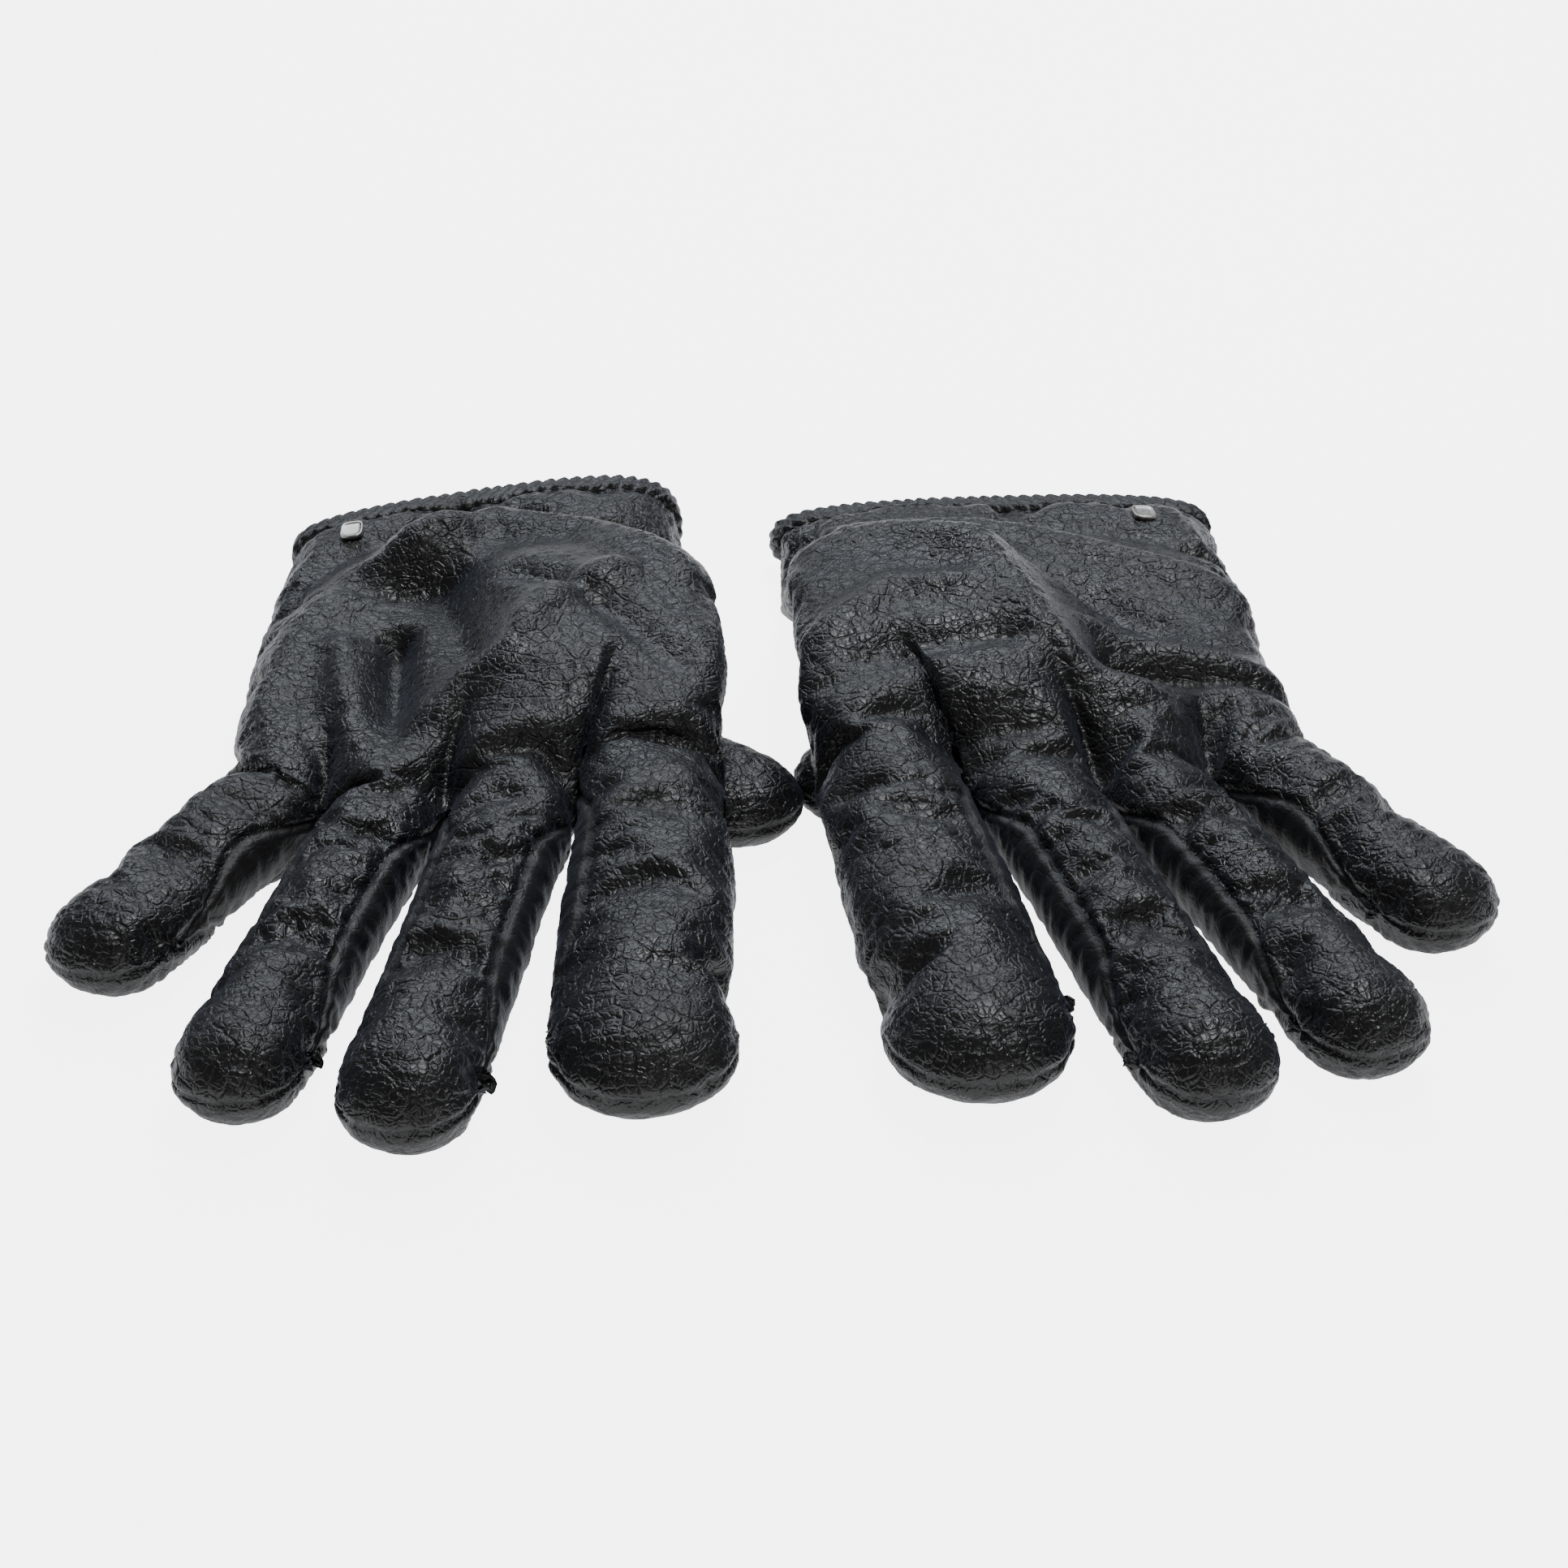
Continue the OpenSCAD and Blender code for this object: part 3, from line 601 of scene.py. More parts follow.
def crumple(thing, held, growth, pressure, cap, frames=22, scale=10.0):
    """Runs the cloth on the skin: held is how firmly each corner stays, and cap the furthest move in metres."""
    rest = read_points(thing.data)
    write_points(thing.data, rest * scale)
    group = thing.vertex_groups.new(name="held")
    for level in (0.25, 0.5, 1.0):
        chosen = np.nonzero(np.isclose(held, level))[0]
        group.add(chosen.tolist(), level, "REPLACE")
    cloth = thing.modifiers.new("cloth", "CLOTH")
    settings = cloth.settings
    settings.quality = 5
    settings.mass = 0.25
    settings.tension_stiffness = settings.compression_stiffness = 30
    settings.shear_stiffness = 12
    settings.bending_stiffness = 1.2
    settings.air_damping = 4
    settings.use_pressure = True
    settings.uniform_pressure_force = pressure
    settings.shrink_min = settings.shrink_max = -growth
    settings.vertex_group_mass = "held"
    settings.pin_stiffness = 0.6
    settings.effector_weights.gravity = 0
    cloth.collision_settings.use_self_collision = False
    cloth.collision_settings.use_collision = False
    cloth.point_cache.frame_start, cloth.point_cache.frame_end = 1, frames
    for number in range(1, frames + 1):
        bpy.context.scene.frame_set(number)
    graph = bpy.context.evaluated_depsgraph_get()
    settled = read_points(thing.evaluated_get(graph).data) / scale
    thing.modifiers.remove(cloth)
    thing.vertex_groups.clear()
    bpy.context.scene.frame_set(1)
    step = settled - rest
    length = np.linalg.norm(step, axis=1, keepdims=True)
    step *= np.minimum(1, cap / np.maximum(length, 1e-9))
    moved = rest + step
    moved[:, 2] = np.maximum(moved[:, 2], 0.0002)
    write_points(thing.data, moved)
    print(thing.name, "moved by up to", round(float(length.max()) / MM, 2), "mm, on average",
          round(float(length.mean()) / MM, 2))


# %% [markdown]
# ## Creases
#
# The cloth gives the buckles from a centimetre down to about four millimetres. The finer creases, which
# run across the fingers where they bend and as a net over the hand, are a pattern of noise pushed along
# the skin's normals, after the skin was subdivided once. A crease is a thin dark valley between soft
# pillows, so the pattern is the distance to the border of noise-bent cells, and not a plain wave.


# %% Noise in space
def hashed(cells, seed):
    """A number from 0 to 1 for each whole-numbered cell, always the same for the same cell and seed."""
    x, y, z = cells[..., 0], cells[..., 1], cells[..., 2]
    mixed = (x * 73856093) ^ (y * 19349663) ^ (z * 83492791) ^ (seed * 2654435761)
    mixed = (mixed ^ (mixed >> 13)) * 1274126177
    return ((mixed ^ (mixed >> 16)) & 0xFFFFFF) / float(0xFFFFFF)


def cloud(points, size, seed=0):
    """Smooth noise from -1 to 1: random numbers on a lattice of that size, blended between its corners."""
    scaled = points / size
    base = np.floor(scaled).astype(np.int64)
    part = smooth(scaled - base)
    total = np.zeros(len(points))
    for corner in np.ndindex(2, 2, 2):
        weight = np.prod(np.where(np.array(corner), part, 1 - part), axis=1)
        total += weight * hashed(base + np.array(corner), seed)
    return 2 * total - 1


def cell_border(points, size, seed=0):
    """Distance to the nearest border of random cells, as the gap between the two nearest cell centres."""
    scaled = points / size
    base = np.floor(scaled).astype(np.int64)
    nearest = np.full(len(points), 9.0)
    second = np.full(len(points), 9.0)
    for offset in np.ndindex(3, 3, 3):
        cell = base + np.array(offset) - 1
        centre = cell + np.stack([hashed(cell, seed + k) for k in (1, 2, 3)], -1)
        gap = np.linalg.norm(scaled - centre, axis=1)
        second = np.where(gap < nearest, nearest, np.minimum(second, gap))
        nearest = np.minimum(nearest, gap)
    return second - nearest


def bent(points, size, strength, seed):
    """Moves the places of a pattern by noise, so that its lines wander."""
    push = np.stack([cloud(points, size, seed + k) for k in range(3)], -1)
    return points + strength * push


# %% Creases of the skin
def finger_of(panel_name):
    """The number of the finger that a panel belongs to, or None for the hand."""
    first = panel_name.split("_")[0]
    return FINGERS.index(first) if first in FINGERS else None


def crease_net(points, size, depth, seed):
    """Thin valleys along the borders of cells, with pillows between: depth times a bell over the border."""
    border = cell_border(bent(points, size * 1.4, size * 0.35, seed), size, seed + 9)
    return depth * (0.35 * smooth(border / 0.5) - np.exp(-(border / 0.13) ** 2))


def leather_relief(glove, points, names, panel_of, seams):
    """How far each corner of the skin is pushed out along its normal, in millimetres."""
    patchy = 0.55 + 0.45 * cloud(points, 26, 3)
    relief = crease_net(points, 8.5, 0.34, 20) * patchy + crease_net(points, 3.6, 0.17, 40)
    relief += 0.25 * cloud(points, 14, 60)
    for number, digit in enumerate(glove["fingers"]):
        members = np.isin(panel_of, [k for k, name in enumerate(names) if finger_of(name) == number])
        own = points[members]
        flat = own[:, :2] - digit["root"][:2]
        along = flat @ digit["ahead"]
        across = np.stack([flat @ digit["beside"] / 3.0, along, own[:, 2] / 3.0], -1)
        bends = crease_net(across, 4.2, 0.42, 70 + number) * (0.6 + 0.4 * cloud(own, 12, 5))
        bends += crease_net(across, 2.0, 0.18, 90 + number)
        bends += 0.2 * cloud(own, 9, 61)
        relief[members] = mix(relief[members], bends, smooth((along - WEB) / 12))
    strips = np.isin(panel_of, [k for k, name in enumerate(names) if "fourchette" in name])
    relief[strips] *= 0.4
    groove = -0.7 * np.exp(-(seams / 0.7) ** 2) + 0.25 * np.exp(-((seams - 2.0) / 0.9) ** 2)
    from_stitches = points[:, 1] - (glove["hem_y"] - 9.4)
    groove += -0.6 * np.exp(-(from_stitches / 0.8) ** 2)
    return relief * (1 - 0.8 * np.exp(-(seams / 1.2) ** 2)) + groove


# %% From skin to pieces
def vertex_normals(mesh):
    flat = np.empty(len(mesh.vertices) * 3, np.float32)
    mesh.vertex_normals.foreach_get("vector", flat)
    return flat.reshape(-1, 3).astype(float)


def quads_of(mesh):
    """Corner numbers of each face that has four, and the number of its panel."""
    sizes, starts, owners = (np.empty(len(mesh.polygons), np.int32) for _ in range(3))
    mesh.polygons.foreach_get("loop_total", sizes)
    mesh.polygons.foreach_get("loop_start", starts)
    mesh.attributes["panel"].data.foreach_get("value", owners)
    corners = np.empty(len(mesh.loops), np.int32)
    mesh.loops.foreach_get("vertex_index", corners)
    quads = sizes == 4
    return corners[starts[quads][:, None] + np.arange(4)], owners[quads]


def subdivided(thing):
    """The skin's mesh with every face split in four and smoothed by a Subdivision Surface."""
    finer = thing.modifiers.new("finer", "SUBSURF")
    finer.levels = finer.render_levels = 1
    graph = bpy.context.evaluated_depsgraph_get()
    shown = thing.evaluated_get(graph)
    mesh = bpy.data.meshes.new_from_object(shown, preserve_all_data_layers=True, depsgraph=graph)
    thing.modifiers.remove(finer)
    return mesh


def shell_piece(name, points, normals, faces, thickness, depth=0.0):
    """A closed wall: the quads at that depth, the same turned round and moved inwards by the thickness,
    and a rim along the open edges."""
    used, faces = np.unique(faces, return_inverse=True)
    faces = faces.reshape(-1, 4)
    outer = points[used] - normals[used] * depth
    inner = outer - normals[used] * thickness
    count = len(used)
    edges = np.stack([faces, np.roll(faces, -1, axis=1)], -1).reshape(-1, 2)
    key = edges[:, 0].astype(np.int64) * count + edges[:, 1]
    opposite = edges[:, 1].astype(np.int64) * count + edges[:, 0]
    rim = edges[~np.isin(key, opposite)]
    rim_faces = np.stack([rim[:, 1], rim[:, 0], rim[:, 0] + count, rim[:, 1] + count], -1)
    everything = np.concatenate([faces, faces[:, ::-1] + count, rim_faces])
    thing = new_object(name, np.concatenate([outer, inner]).tolist(), everything.tolist())
    ways = np.concatenate([normals[used], -normals[used]])
    thing.data.normals_split_custom_set_from_vertices(ways.tolist())
    return thing


def finish_piece(piece, glove, slot, nodes, finger=None):
    """Gives a piece its finish and hides the design's nodes that it stands for. A piece without a finger rides
    on the hand; a finger's or the thumb's piece only has its place baked into its corners."""
    side = glove["side"]
    piece.data.materials.append(materials[slot])
    if finger is None:
        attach(piece, f"{side}_hand")
    else:
        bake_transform(piece)
    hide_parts(*[f"{side}_{node}" for node in nodes])


LEATHER = 1.0 * MM


def cut_skin(glove, thing, names):
    """Subdivides and creases the skin, and cuts it along its seams into one closed piece for each panel."""
    side = glove["side"]
    mesh = subdivided(thing)
    points, normals = read_points(mesh), vertex_normals(mesh)
    faces, owners = quads_of(mesh)
    panel_of = np.zeros(len(points), int)
    panel_of[faces.ravel()] = np.repeat(owners, 4)
    seams = np.empty(len(points), np.float32)
    mesh.attributes["seam"].data.foreach_get("value", seams)
    relief = leather_relief(glove, to_glove(side, points), names, panel_of, seams)
    points += normals * relief[:, None] * MM
    points[:, 2] = np.maximum(points[:, 2], 0.1 * MM)
    write_points(mesh, points)
    normals = vertex_normals(mesh)
    for number, name in enumerate(names):
        piece = shell_piece(f"{side}_{name}_leather", points, normals, faces[owners == number], LEATHER)
        slot = "fourchette_leather" if "fourchette" in name else "nappa_leather"
        nodes = [name, "thumb_base"] if name == "thumb_front" else [name]
        finger = finger_of(name)
        whose = FINGERS[finger] if finger is not None else "thumb" if name.startswith("thumb") else None
        finish_piece(piece, glove, slot, nodes, whose)
    bpy.data.meshes.remove(mesh)


# %% [markdown]
# ## The lining
#
# Inside sits a thinner knitted glove. It shows at the cuff, and it has to stay inside the leather whatever
# folds that has. So it is the crumpled skin itself, moved inwards by the leather and a little more.


# %% Linings
LINING, LINING_DEPTH = 0.7 * MM, 2.1 * MM


def line_glove(glove, thing, names):
    """One lining piece for each half of the hand, each finger and the thumb."""
    side = glove["side"]
    points, normals = read_points(thing.data), vertex_normals(thing.data)
    faces, owners = quads_of(thing.data)
    groups = {}
    for number, name in enumerate(names):
        finger = finger_of(name)
        key = FINGERS[finger] if finger is not None else name.split("_")[0]
        if key == "hand":
            key = name
        groups.setdefault(key, []).append(number)
    inside = to_glove(side, points)[:, 1] < glove["hem_y"] - 5.0
    for key, numbers in groups.items():
        chosen = faces[np.isin(owners, numbers)]
        chosen = chosen[inside[chosen].all(axis=1)]
        target = f"hand_lining_{key.split('_')[1]}" if key.startswith("hand") else f"{key}_lining"
        piece = shell_piece(f"{side}_{target}_knit", points, normals, chosen, LINING, LINING_DEPTH)
        finish_piece(piece, glove, "knit_lining", [target], None if key.startswith("hand") else key)


# %% [markdown]
# ## The hem
#
# At the cuff the leather is turned in over the lining and stitched down. Turned leather has too much
# length at its edge and puckers between the stitches in slanting ropes. The hem is one profile,
# a flat loop that wraps the edge, carried round the cuff, with the puckers as a slanting wave on it.

# %% Hem profile: distance beyond the cuff's edge and height above the leather, going round the loop
HEM_PROFILE = [(-8.6, -0.5), (-8.3, 0.45), (-7.4, 1.0), (-5.6, 1.35), (-3.4, 1.45), (-1.4, 1.35), (0.2, 0.9),
               (1.2, 0.0), (1.5, -1.1), (1.1, -2.2), (0.0, -3.0), (-2.5, -3.4), (-5.5, -3.4), (-8.2, -3.2),
               (-8.7, -2.0)]
PUCKER = 3.3          # from one pucker to the next, in millimetres


def cuff_rings(points, same, grids, rows):
    """Rings round the cuff, from the edge inwards: along the back to the outer side and back under the palm."""
    sizes = [g.shape[0] * g.shape[1] for g in grids.values()]
    starts = dict(zip(grids, np.concatenate([[0], np.cumsum(sizes)[:-1]])))
    rings = []
    for row in range(rows):
        ring = []
        for name, picked in (("hand_back", slice(None)), ("hand_palm", slice(-2, 0, -1))):
            columns = grids[name].shape[1]
            corner = starts[name] + row * columns + np.arange(columns)[picked]
            ring.append(points[same[corner]])
        rings.append(np.concatenate(ring))
    return np.array(rings)


def refine_ring(ring, times):
    """More corners on a closed ring, by straight steps between its own."""
    count = ring.shape[-2]
    place = np.arange(count * times) / times
    low = place.astype(int)
    part = (place - low)[:, None]
    return ring[..., low, :] * (1 - part) + ring[..., (low + 1) % count, :] * part


def smooth_ring(ring, times):
    for _ in range(times):
        ring = (np.roll(ring, 1, axis=-2) + 2 * ring + np.roll(ring, -1, axis=-2)) / 4
    return ring


def closed_grid(name, grid):
    """An object from a grid that closes in both directions, like a ring with a closed section."""
    rows, columns = grid.shape[:2]
    corner = np.arange(rows * columns).reshape(rows, columns)
    below = np.roll(corner, -1, axis=0)
    faces = np.stack([corner, below, np.roll(below, -1, axis=1), np.roll(corner, -1, axis=1)], -1)
    return new_object(name, grid.reshape(-1, 3).tolist(), faces.reshape(-1, 4).tolist())


def make_hem(glove, rings, outward):
    """Carries the profile round the cuff: each of its points is a place on the leather at that distance from
    the edge, plus its height times the leather's normal."""
    side = glove["side"]
    rings, outward = refine_ring(smooth_ring(rings, 2), 4), refine_ring(smooth_ring(outward, 6), 4)
    outward /= np.linalg.norm(outward, axis=-1, keepdims=True)
    beyond = rings[0] - rings[3]
    beyond /= np.linalg.norm(beyond, axis=-1, keepdims=True)
    run = np.cumsum(np.linalg.norm(np.diff(rings[0], axis=0, append=rings[0][:1]), axis=-1))
    waves = round(run[-1] / PUCKER)
    phase = 2 * math.pi * waves * run / run[-1]
    uneven = cloud(rings[0], 9.0, 33)
    grid = []
    for along, above in HEM_PROFILE:
        row = min(max(-along, 0) / ROW, len(rings) - 1.001)
        low = int(row)
        base = mix(rings[low], rings[low + 1], row - low)
        outside = smooth((above + 0.6) / 1.2)
        wave = np.sin(phase + along * 1.25 + 1.8 * uneven)
        rope = outside * (0.62 + 0.25 * uneven) * (np.abs(wave) ** 0.7 * np.sign(wave))
        grid.append(base + beyond * max(along, 0) + outward * (above + rope)[:, None])
    grid = np.array(grid)
    grid[..., 2] = np.maximum(grid[..., 2], 0.1)
    piece = closed_grid(f"{side}_cuff_hem_leather", to_frame(side, grid))
    if MIRROR[side] < 0:
        piece.data.flip_normals()
    finer = piece.modifiers.new("finer", "SUBSURF")
    finer.levels = finer.render_levels = 1
    finish_piece(piece, glove, "hem_leather", ["cuff_hem"])
    return rings, outward, run


# %% [markdown]
# ## Stitches
#
# A row of stitches is many copies of one tiny shape, so the shape has only a few faces: a short bead of
# thread, longer than it is wide, which dips into the leather at both ends.


# %% Thread
def bead():
    """Corners and faces of a stitch along x, from -1 to 1: rings whose radius follows a half circle."""
    places = np.array([-0.92, -0.55, 0.0, 0.55, 0.92])
    radii = np.sqrt(1 - places ** 2)
    turn = np.linspace(0, 2 * math.pi, 6, endpoint=False)
    rings = np.stack([np.broadcast_to(places[:, None], (5, 6)), radii[:, None] * np.cos(turn),
                      radii[:, None] * np.sin(turn)], -1).reshape(-1, 3)
    corners = np.concatenate([rings, [[-1, 0, 0], [1, 0, 0]]])
    corner = np.arange(30).reshape(5, 6)
    around = np.roll(corner, -1, axis=1)
    quads = np.stack([corner[:-1], around[:-1], around[1:], corner[1:]], -1).reshape(-1, 4)
    first = [[30, around[0, k], corner[0, k]] for k in range(6)]
    last = [[31, corner[4, k], around[4, k]] for k in range(6)]
    return corners, quads.tolist() + first + last


def stitch_row(name, places, ahead, up, length, radius):
    """One bead at each place, lying along ahead, with up as its other axis."""
    corners, faces = bead()
    ahead = ahead / np.linalg.norm(ahead, axis=-1, keepdims=True)
    beside = np.cross(up, ahead)
    beside /= np.linalg.norm(beside, axis=-1, keepdims=True)
    up = np.cross(ahead, beside)
    shape = (places[:, None] + ahead[:, None] * corners[:, :1] * length / 2
             + beside[:, None] * corners[:, 1:2] * radius + up[:, None] * corners[:, 2:] * radius)
    polygons = [[c + n * len(corners) for c in face] for n in range(len(places)) for face in faces]
    return new_object(name, shape.reshape(-1, 3).tolist(), polygons)


STITCH, THREAD = 2.1 * MM, 0.24 * MM    # a stitch's length and the thread's half thickness


def sew(glove, node, places, ahead, up):
    """A row of stitches at those places of the glove."""
    side = glove["side"]
    m = to_frame(side, places)
    turn = lambda v: to_frame(side, places + v) - m
    piece = stitch_row(f"{side}_{node}_stitches", m, turn(ahead), turn(up), STITCH, THREAD)
    finish_piece(piece, glove, "sewing_thread", [node])


# %% [markdown]
# ## The badge
#
# A small plate of polished white metal is pinned near the hem. It is a plain rounded tablet
# with a raised rim: a polar grid whose height is a function of the distance from its middle.


# %% Badge
def make_badge(glove, spot, normal):
    """Rings from the middle of the face over the rim and down the edge; the outline is a squared oval."""
    side = glove["side"]
    wide, long = 5.4, 7.6
    reach = np.array([0.001, 0.3, 0.62, 0.76, 0.84, 0.92, 0.98, 1.0, 1.0, 0.9, 0.001])
    height = np.array([0.42, 0.42, 0.42, 0.46, 0.66, 0.74, 0.66, 0.4, -0.3, -0.5, -0.5])
    turn = np.linspace(0, 2 * math.pi, 48, endpoint=False)
    outline = np.stack([wide / 2 * signed_pow(np.cos(turn), 0.5), long / 2 * signed_pow(np.sin(turn), 0.5)], -1)
    up = normal / np.linalg.norm(normal)
    ahead = np.array([0, 1, 0]) - up * up[1]
    ahead /= np.linalg.norm(ahead)
    beside = np.cross(ahead, up)
    flat = reach[:, None, None] * outline
    grid = spot + flat[..., :1] * beside + flat[..., 1:] * ahead + (height[:, None] + 0.35)[..., None] * up
    rows, columns = grid.shape[:2]
    corner = np.arange(rows * columns).reshape(rows, columns)
    beyond = np.roll(corner, -1, axis=1)
    faces = np.stack([corner[:-1], corner[1:], beyond[1:], beyond[:-1]], -1).reshape(-1, 4).tolist()
    faces += [corner[0].tolist(), corner[-1][::-1].tolist()]
    piece = new_object(f"{side}_badge_plate", to_frame(side, grid.reshape(-1, 3)).tolist(), faces)
    if MIRROR[side] < 0:
        piece.data.flip_normals()
    finish_piece(piece, glove, "badge_metal", ["badge"])


# %% [markdown]
# ## Finishes
#
# Nappa is black, but not evenly: it is a little worn and warm in soft random patches. Its shine is broken up by
# pores and by a fine net of lines, which are far smaller than the mesh's creases, so they are bump in the
# material. Each finish reads Object coordinates in metres, and so the sizes below are true sizes.


# %% Leather finish
def leather(name, grain, net, low_rough, high_rough):
    """Pores and lines as bump, and a roughness and colour that vary with the wear."""
    material, shader, add, join = new_material(name)
    where = add("ShaderNodeTexCoord")
    wander = add("ShaderNodeTexNoise", Scale=110.0, Detail=3.0)
    join(where.outputs["Object"], wander.inputs["Vector"])
    centred = add("ShaderNodeVectorMath", operation="SUBTRACT")
    centred.inputs[1].default_value = (0.5, 0.5, 0.5)
    join(wander.outputs["Color"], centred.inputs[0])
    pushed = add("ShaderNodeVectorMath", operation="MULTIPLY_ADD")
    pushed.inputs[1].default_value = (0.0035, 0.0035, 0.0035)
    join(centred.outputs["Vector"], pushed.inputs[0])
    join(where.outputs["Object"], pushed.inputs[2])

    def lines(scale, width):
        cells = add("ShaderNodeTexVoronoi", feature="DISTANCE_TO_EDGE", Scale=scale)
        join(pushed.outputs["Vector"], cells.inputs["Vector"])
        ramp = add("ShaderNodeMapRange", interpolation_type="SMOOTHSTEP")
        ramp.inputs["From Max"].default_value = width
        join(cells.outputs["Distance"], ramp.inputs["Value"])
        return ramp.outputs["Result"]

    coarse, fine = lines(250.0, 0.10), lines(620.0, 0.16)
    pores = add("ShaderNodeTexVoronoi", Scale=1500.0, feature="SMOOTH_F1", Smoothness=0.4)
    join(where.outputs["Object"], pores.inputs["Vector"])
    speckle = add("ShaderNodeTexNoise", Scale=2600.0, Detail=2.0)
    join(where.outputs["Object"], speckle.inputs["Vector"])

    def bump(height, distance, strength, below=None):
        node = add("ShaderNodeBump", Strength=strength, Distance=distance)
        join(height, node.inputs["Height"])
        if below is not None:
            join(below, node.inputs["Normal"])
        return node.outputs["Normal"]

    relief = bump(coarse, 0.00022, net)
    relief = bump(fine, 0.00012, net, relief)
    relief = bump(pores.outputs["Distance"], 0.00010, grain, relief)
    relief = bump(speckle.outputs["Fac"], 0.00005, grain, relief)
    join(relief, shader.inputs["Normal"])
    patches = add("ShaderNodeTexNoise", Scale=38.0, Detail=4.0, Roughness=0.6)
    join(where.outputs["Object"], patches.inputs["Vector"])
    tone = add("ShaderNodeValToRGB")
    tone.color_ramp.elements[0].position, tone.color_ramp.elements[1].position = 0.35, 0.75
    tone.color_ramp.elements[0].color = (0.0028, 0.0029, 0.0036, 1)
    tone.color_ramp.elements[1].color = (0.0075, 0.0072, 0.0064, 1)
    join(patches.outputs["Fac"], tone.inputs["Fac"])
    join(tone.outputs["Color"], shader.inputs["Base Color"])
    rough = add("ShaderNodeMapRange")
    rough.inputs["From Min"].default_value, rough.inputs["From Max"].default_value = 0.3, 0.7
    rough.inputs["To Min"].default_value, rough.inputs["To Max"].default_value = low_rough, high_rough
    join(patches.outputs["Fac"], rough.inputs["Value"])
    join(rough.outputs["Result"], shader.inputs["Roughness"])
    shader.inputs["Specular IOR Level"].default_value = 0.55
    shader.inputs["Sheen Weight"].default_value = 0.10
    shader.inputs["Sheen Roughness"].default_value = 0.4
    shader.inputs["Sheen Tint"].default_value = (0.62, 0.72, 1.0, 1)
    return material


def knit(name):
    """Fine ribs across each other, in a matt dark yarn."""
    material, shader, add, join = new_material(name)
    where = add("ShaderNodeTexCoord")
    ribs = add("ShaderNodeTexWave", Scale=260.0, Distortion=1.2, bands_direction="X")
    rows = add("ShaderNodeTexWave", Scale=340.0, Distortion=0.8, bands_direction="Y")
    both = add("ShaderNodeMath", operation="MULTIPLY")
    for wave, socket in ((ribs, 0), (rows, 1)):
        join(where.outputs["Object"], wave.inputs["Vector"])
        join(wave.outputs["Fac"], both.inputs[socket])
    relief = add("ShaderNodeBump", Strength=0.8, Distance=0.0004)
    join(both.outputs["Value"], relief.inputs["Height"])
    join(relief.outputs["Normal"], shader.inputs["Normal"])
    tone = add("ShaderNodeValToRGB")
    tone.color_ramp.elements[0].color = (0.008, 0.008, 0.009, 1)
    tone.color_ramp.elements[1].color = (0.035, 0.035, 0.038, 1)
    join(both.outputs["Value"], tone.inputs["Fac"])
    join(tone.outputs["Color"], shader.inputs["Base Color"])
    shader.inputs["Roughness"].default_value = 0.9
    shader.inputs["Sheen Weight"].default_value = 0.3
    return material


def twisted_thread(name):
    material, shader, add, join = new_material(name)
    where = add("ShaderNodeTexCoord")
    twist = add("ShaderNodeTexWave", Scale=900.0, Distortion=0.5, bands_direction="DIAGONAL")
    join(where.outputs["Object"], twist.inputs["Vector"])
    relief = add("ShaderNodeBump", Strength=0.6, Distance=0.0001)
    join(twist.outputs["Fac"], relief.inputs["Height"])
    join(relief.outputs["Normal"], shader.inputs["Normal"])
    shader.inputs["Base Color"].default_value = (0.008, 0.008, 0.009, 1)
    shader.inputs["Roughness"].default_value = 0.55
    return material


def white_metal(name):
    material, shader, add, join = new_material(name)
    where = add("ShaderNodeTexCoord")
    wear = add("ShaderNodeTexNoise", Scale=900.0, Detail=4.0)
    join(where.outputs["Object"], wear.inputs["Vector"])
    rough = add("ShaderNodeMapRange")
    rough.inputs["To Min"].default_value, rough.inputs["To Max"].default_value = 0.16, 0.42
    join(wear.outputs["Fac"], rough.inputs["Value"])
    join(rough.outputs["Result"], shader.inputs["Roughness"])
    shader.inputs["Base Color"].default_value = (0.62, 0.60, 0.56, 1)
    shader.inputs["Metallic"].default_value = 1.0
    return material


materials = {"nappa_leather": leather("nappa_leather", 0.7, 0.75, 0.24, 0.42),
             "fourchette_leather": leather("fourchette_leather", 0.35, 0.25, 0.42, 0.55),
             "hem_leather": leather("hem_leather", 0.5, 0.4, 0.32, 0.46),
             "knit_lining": knit("knit_lining"), "sewing_thread": twisted_thread("sewing_thread"),
             "badge_metal": white_metal("badge_metal")}

# %% [markdown]
# ## Making both gloves
#
# Each glove goes through the same steps: its panels are worked out, welded, crumpled, lined, creased and
# cut. The hem is held firmly and the seams half firmly, and the strips between the
# fingers stay as smooth as thin soft leather does.


# %% Assemble
def holding(names, owners, faces, count, seams, corners, glove):
    """How firmly each corner is held: the hem fully, seams and strips half, the palm on the table a quarter."""
    held = np.full(count, 0.0)
    held[seams < 0.9] = 0.5
    strips = np.isin(owners, [k for k, n in enumerate(names) if "fourchette" in n])
    held[np.unique(faces[strips])] = 0.5
    held[(corners[:, 2] < 1.2) & (seams > 0.9)] = 0.25
    held[corners[:, 1] > glove["hem_y"] - 6] = 1.0
    return held


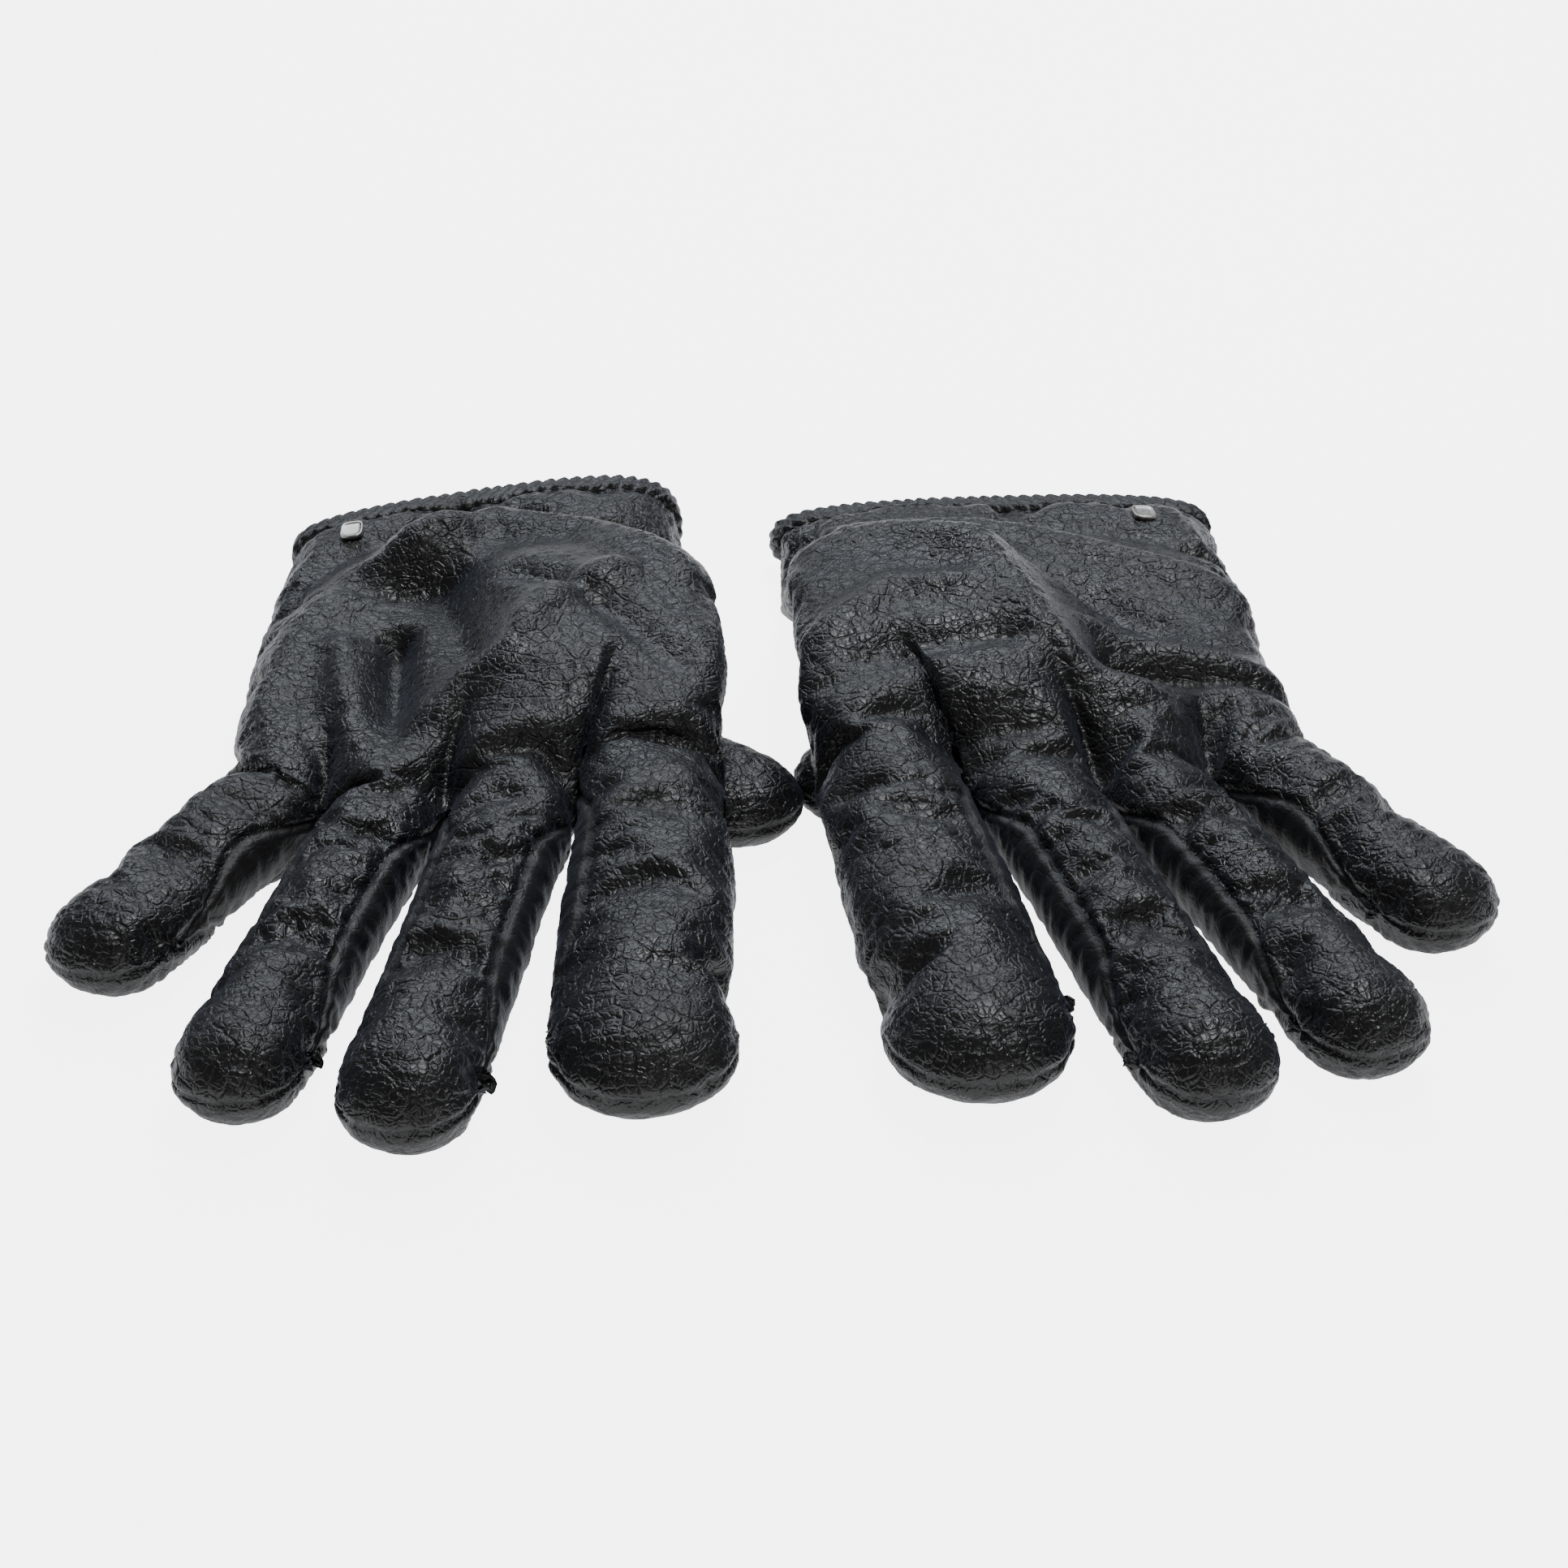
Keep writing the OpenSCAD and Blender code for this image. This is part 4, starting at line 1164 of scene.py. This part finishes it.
def build_skin(glove, panels, label, growth, pressure, cap):
    names = list(panels)
    corners, faces, owners, seams, same = weld(panels)
    side = glove["side"]
    held = holding(names, owners, faces, len(corners), seams, corners, glove)
    if MIRROR[side] < 0:
        faces = faces[:, ::-1]
    thing = skin_mesh(f"{side}_{label}_skin", to_frame(side, corners) / MM, faces, owners, seams)
    crumple(thing, held, growth, pressure, cap)
    return thing, names, same


for side in SIDES:
    glove = gloves[side]
    panels = glove_grids(glove)
    thing, names, same = build_skin(glove, panels, "glove", 0.07, 1.2, 4.2 * MM)
    line_glove(glove, thing, names)
    cut_skin(glove, thing, names)
    points = to_glove(side, read_points(thing.data))
    normals = vertex_normals(thing.data)
    turned = to_glove(side, normals * MM) - to_glove(side, np.zeros(3))
    rings, outward = (cuff_rings(values, same, panels, 8) for values in (points, turned))
    rings, outward, run = make_hem(glove, rings, outward.mean(axis=0))
    stitch_base = mix(rings[5], rings[6], 0.7)
    ahead = np.roll(stitch_base, -1, axis=0) - stitch_base
    wanted = np.searchsorted(run, np.arange(1.0, run[-1] - 1.0, 2.9))
    sew(glove, "hem_thread", stitch_base[wanted] + outward[wanted] * 0.1, ahead[wanted], outward[wanted])
    sizes = [g.shape[0] * g.shape[1] for g in panels.values()]
    begin = sum(sizes[:list(panels).index("hand_back")])
    rows, columns = panels["hand_back"].shape[:2]
    seam_line = same[begin + np.arange(8, rows - 1) * columns + columns - 1]
    line, up = points[seam_line], turned[seam_line]
    sew(glove, "side_seam_thread", line[::2] - up[::2] * 0.35, np.gradient(line, axis=0)[::2], up[::2])
    low, high = (np.array(c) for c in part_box(f"{side}_badge"))
    spot = to_glove(side, (low + high) / 2)
    back = same[begin:begin + rows * columns]
    near = back[np.argmin(np.hypot(*(points[back][:, :2] - spot[:2]).T))]
    make_badge(glove, points[near], turned[near])
    thumb, thumb_names, _ = build_skin(glove, thumb_grids(glove), "thumb", 0.05, 1.2, 2.5 * MM)
    line_glove(glove, thumb, thumb_names)
    cut_skin(glove, thumb, thumb_names)
    bpy.data.objects.remove(thing)
    bpy.data.objects.remove(thumb)
    print(side, "glove made of", len(names) + len(thumb_names), "panels")
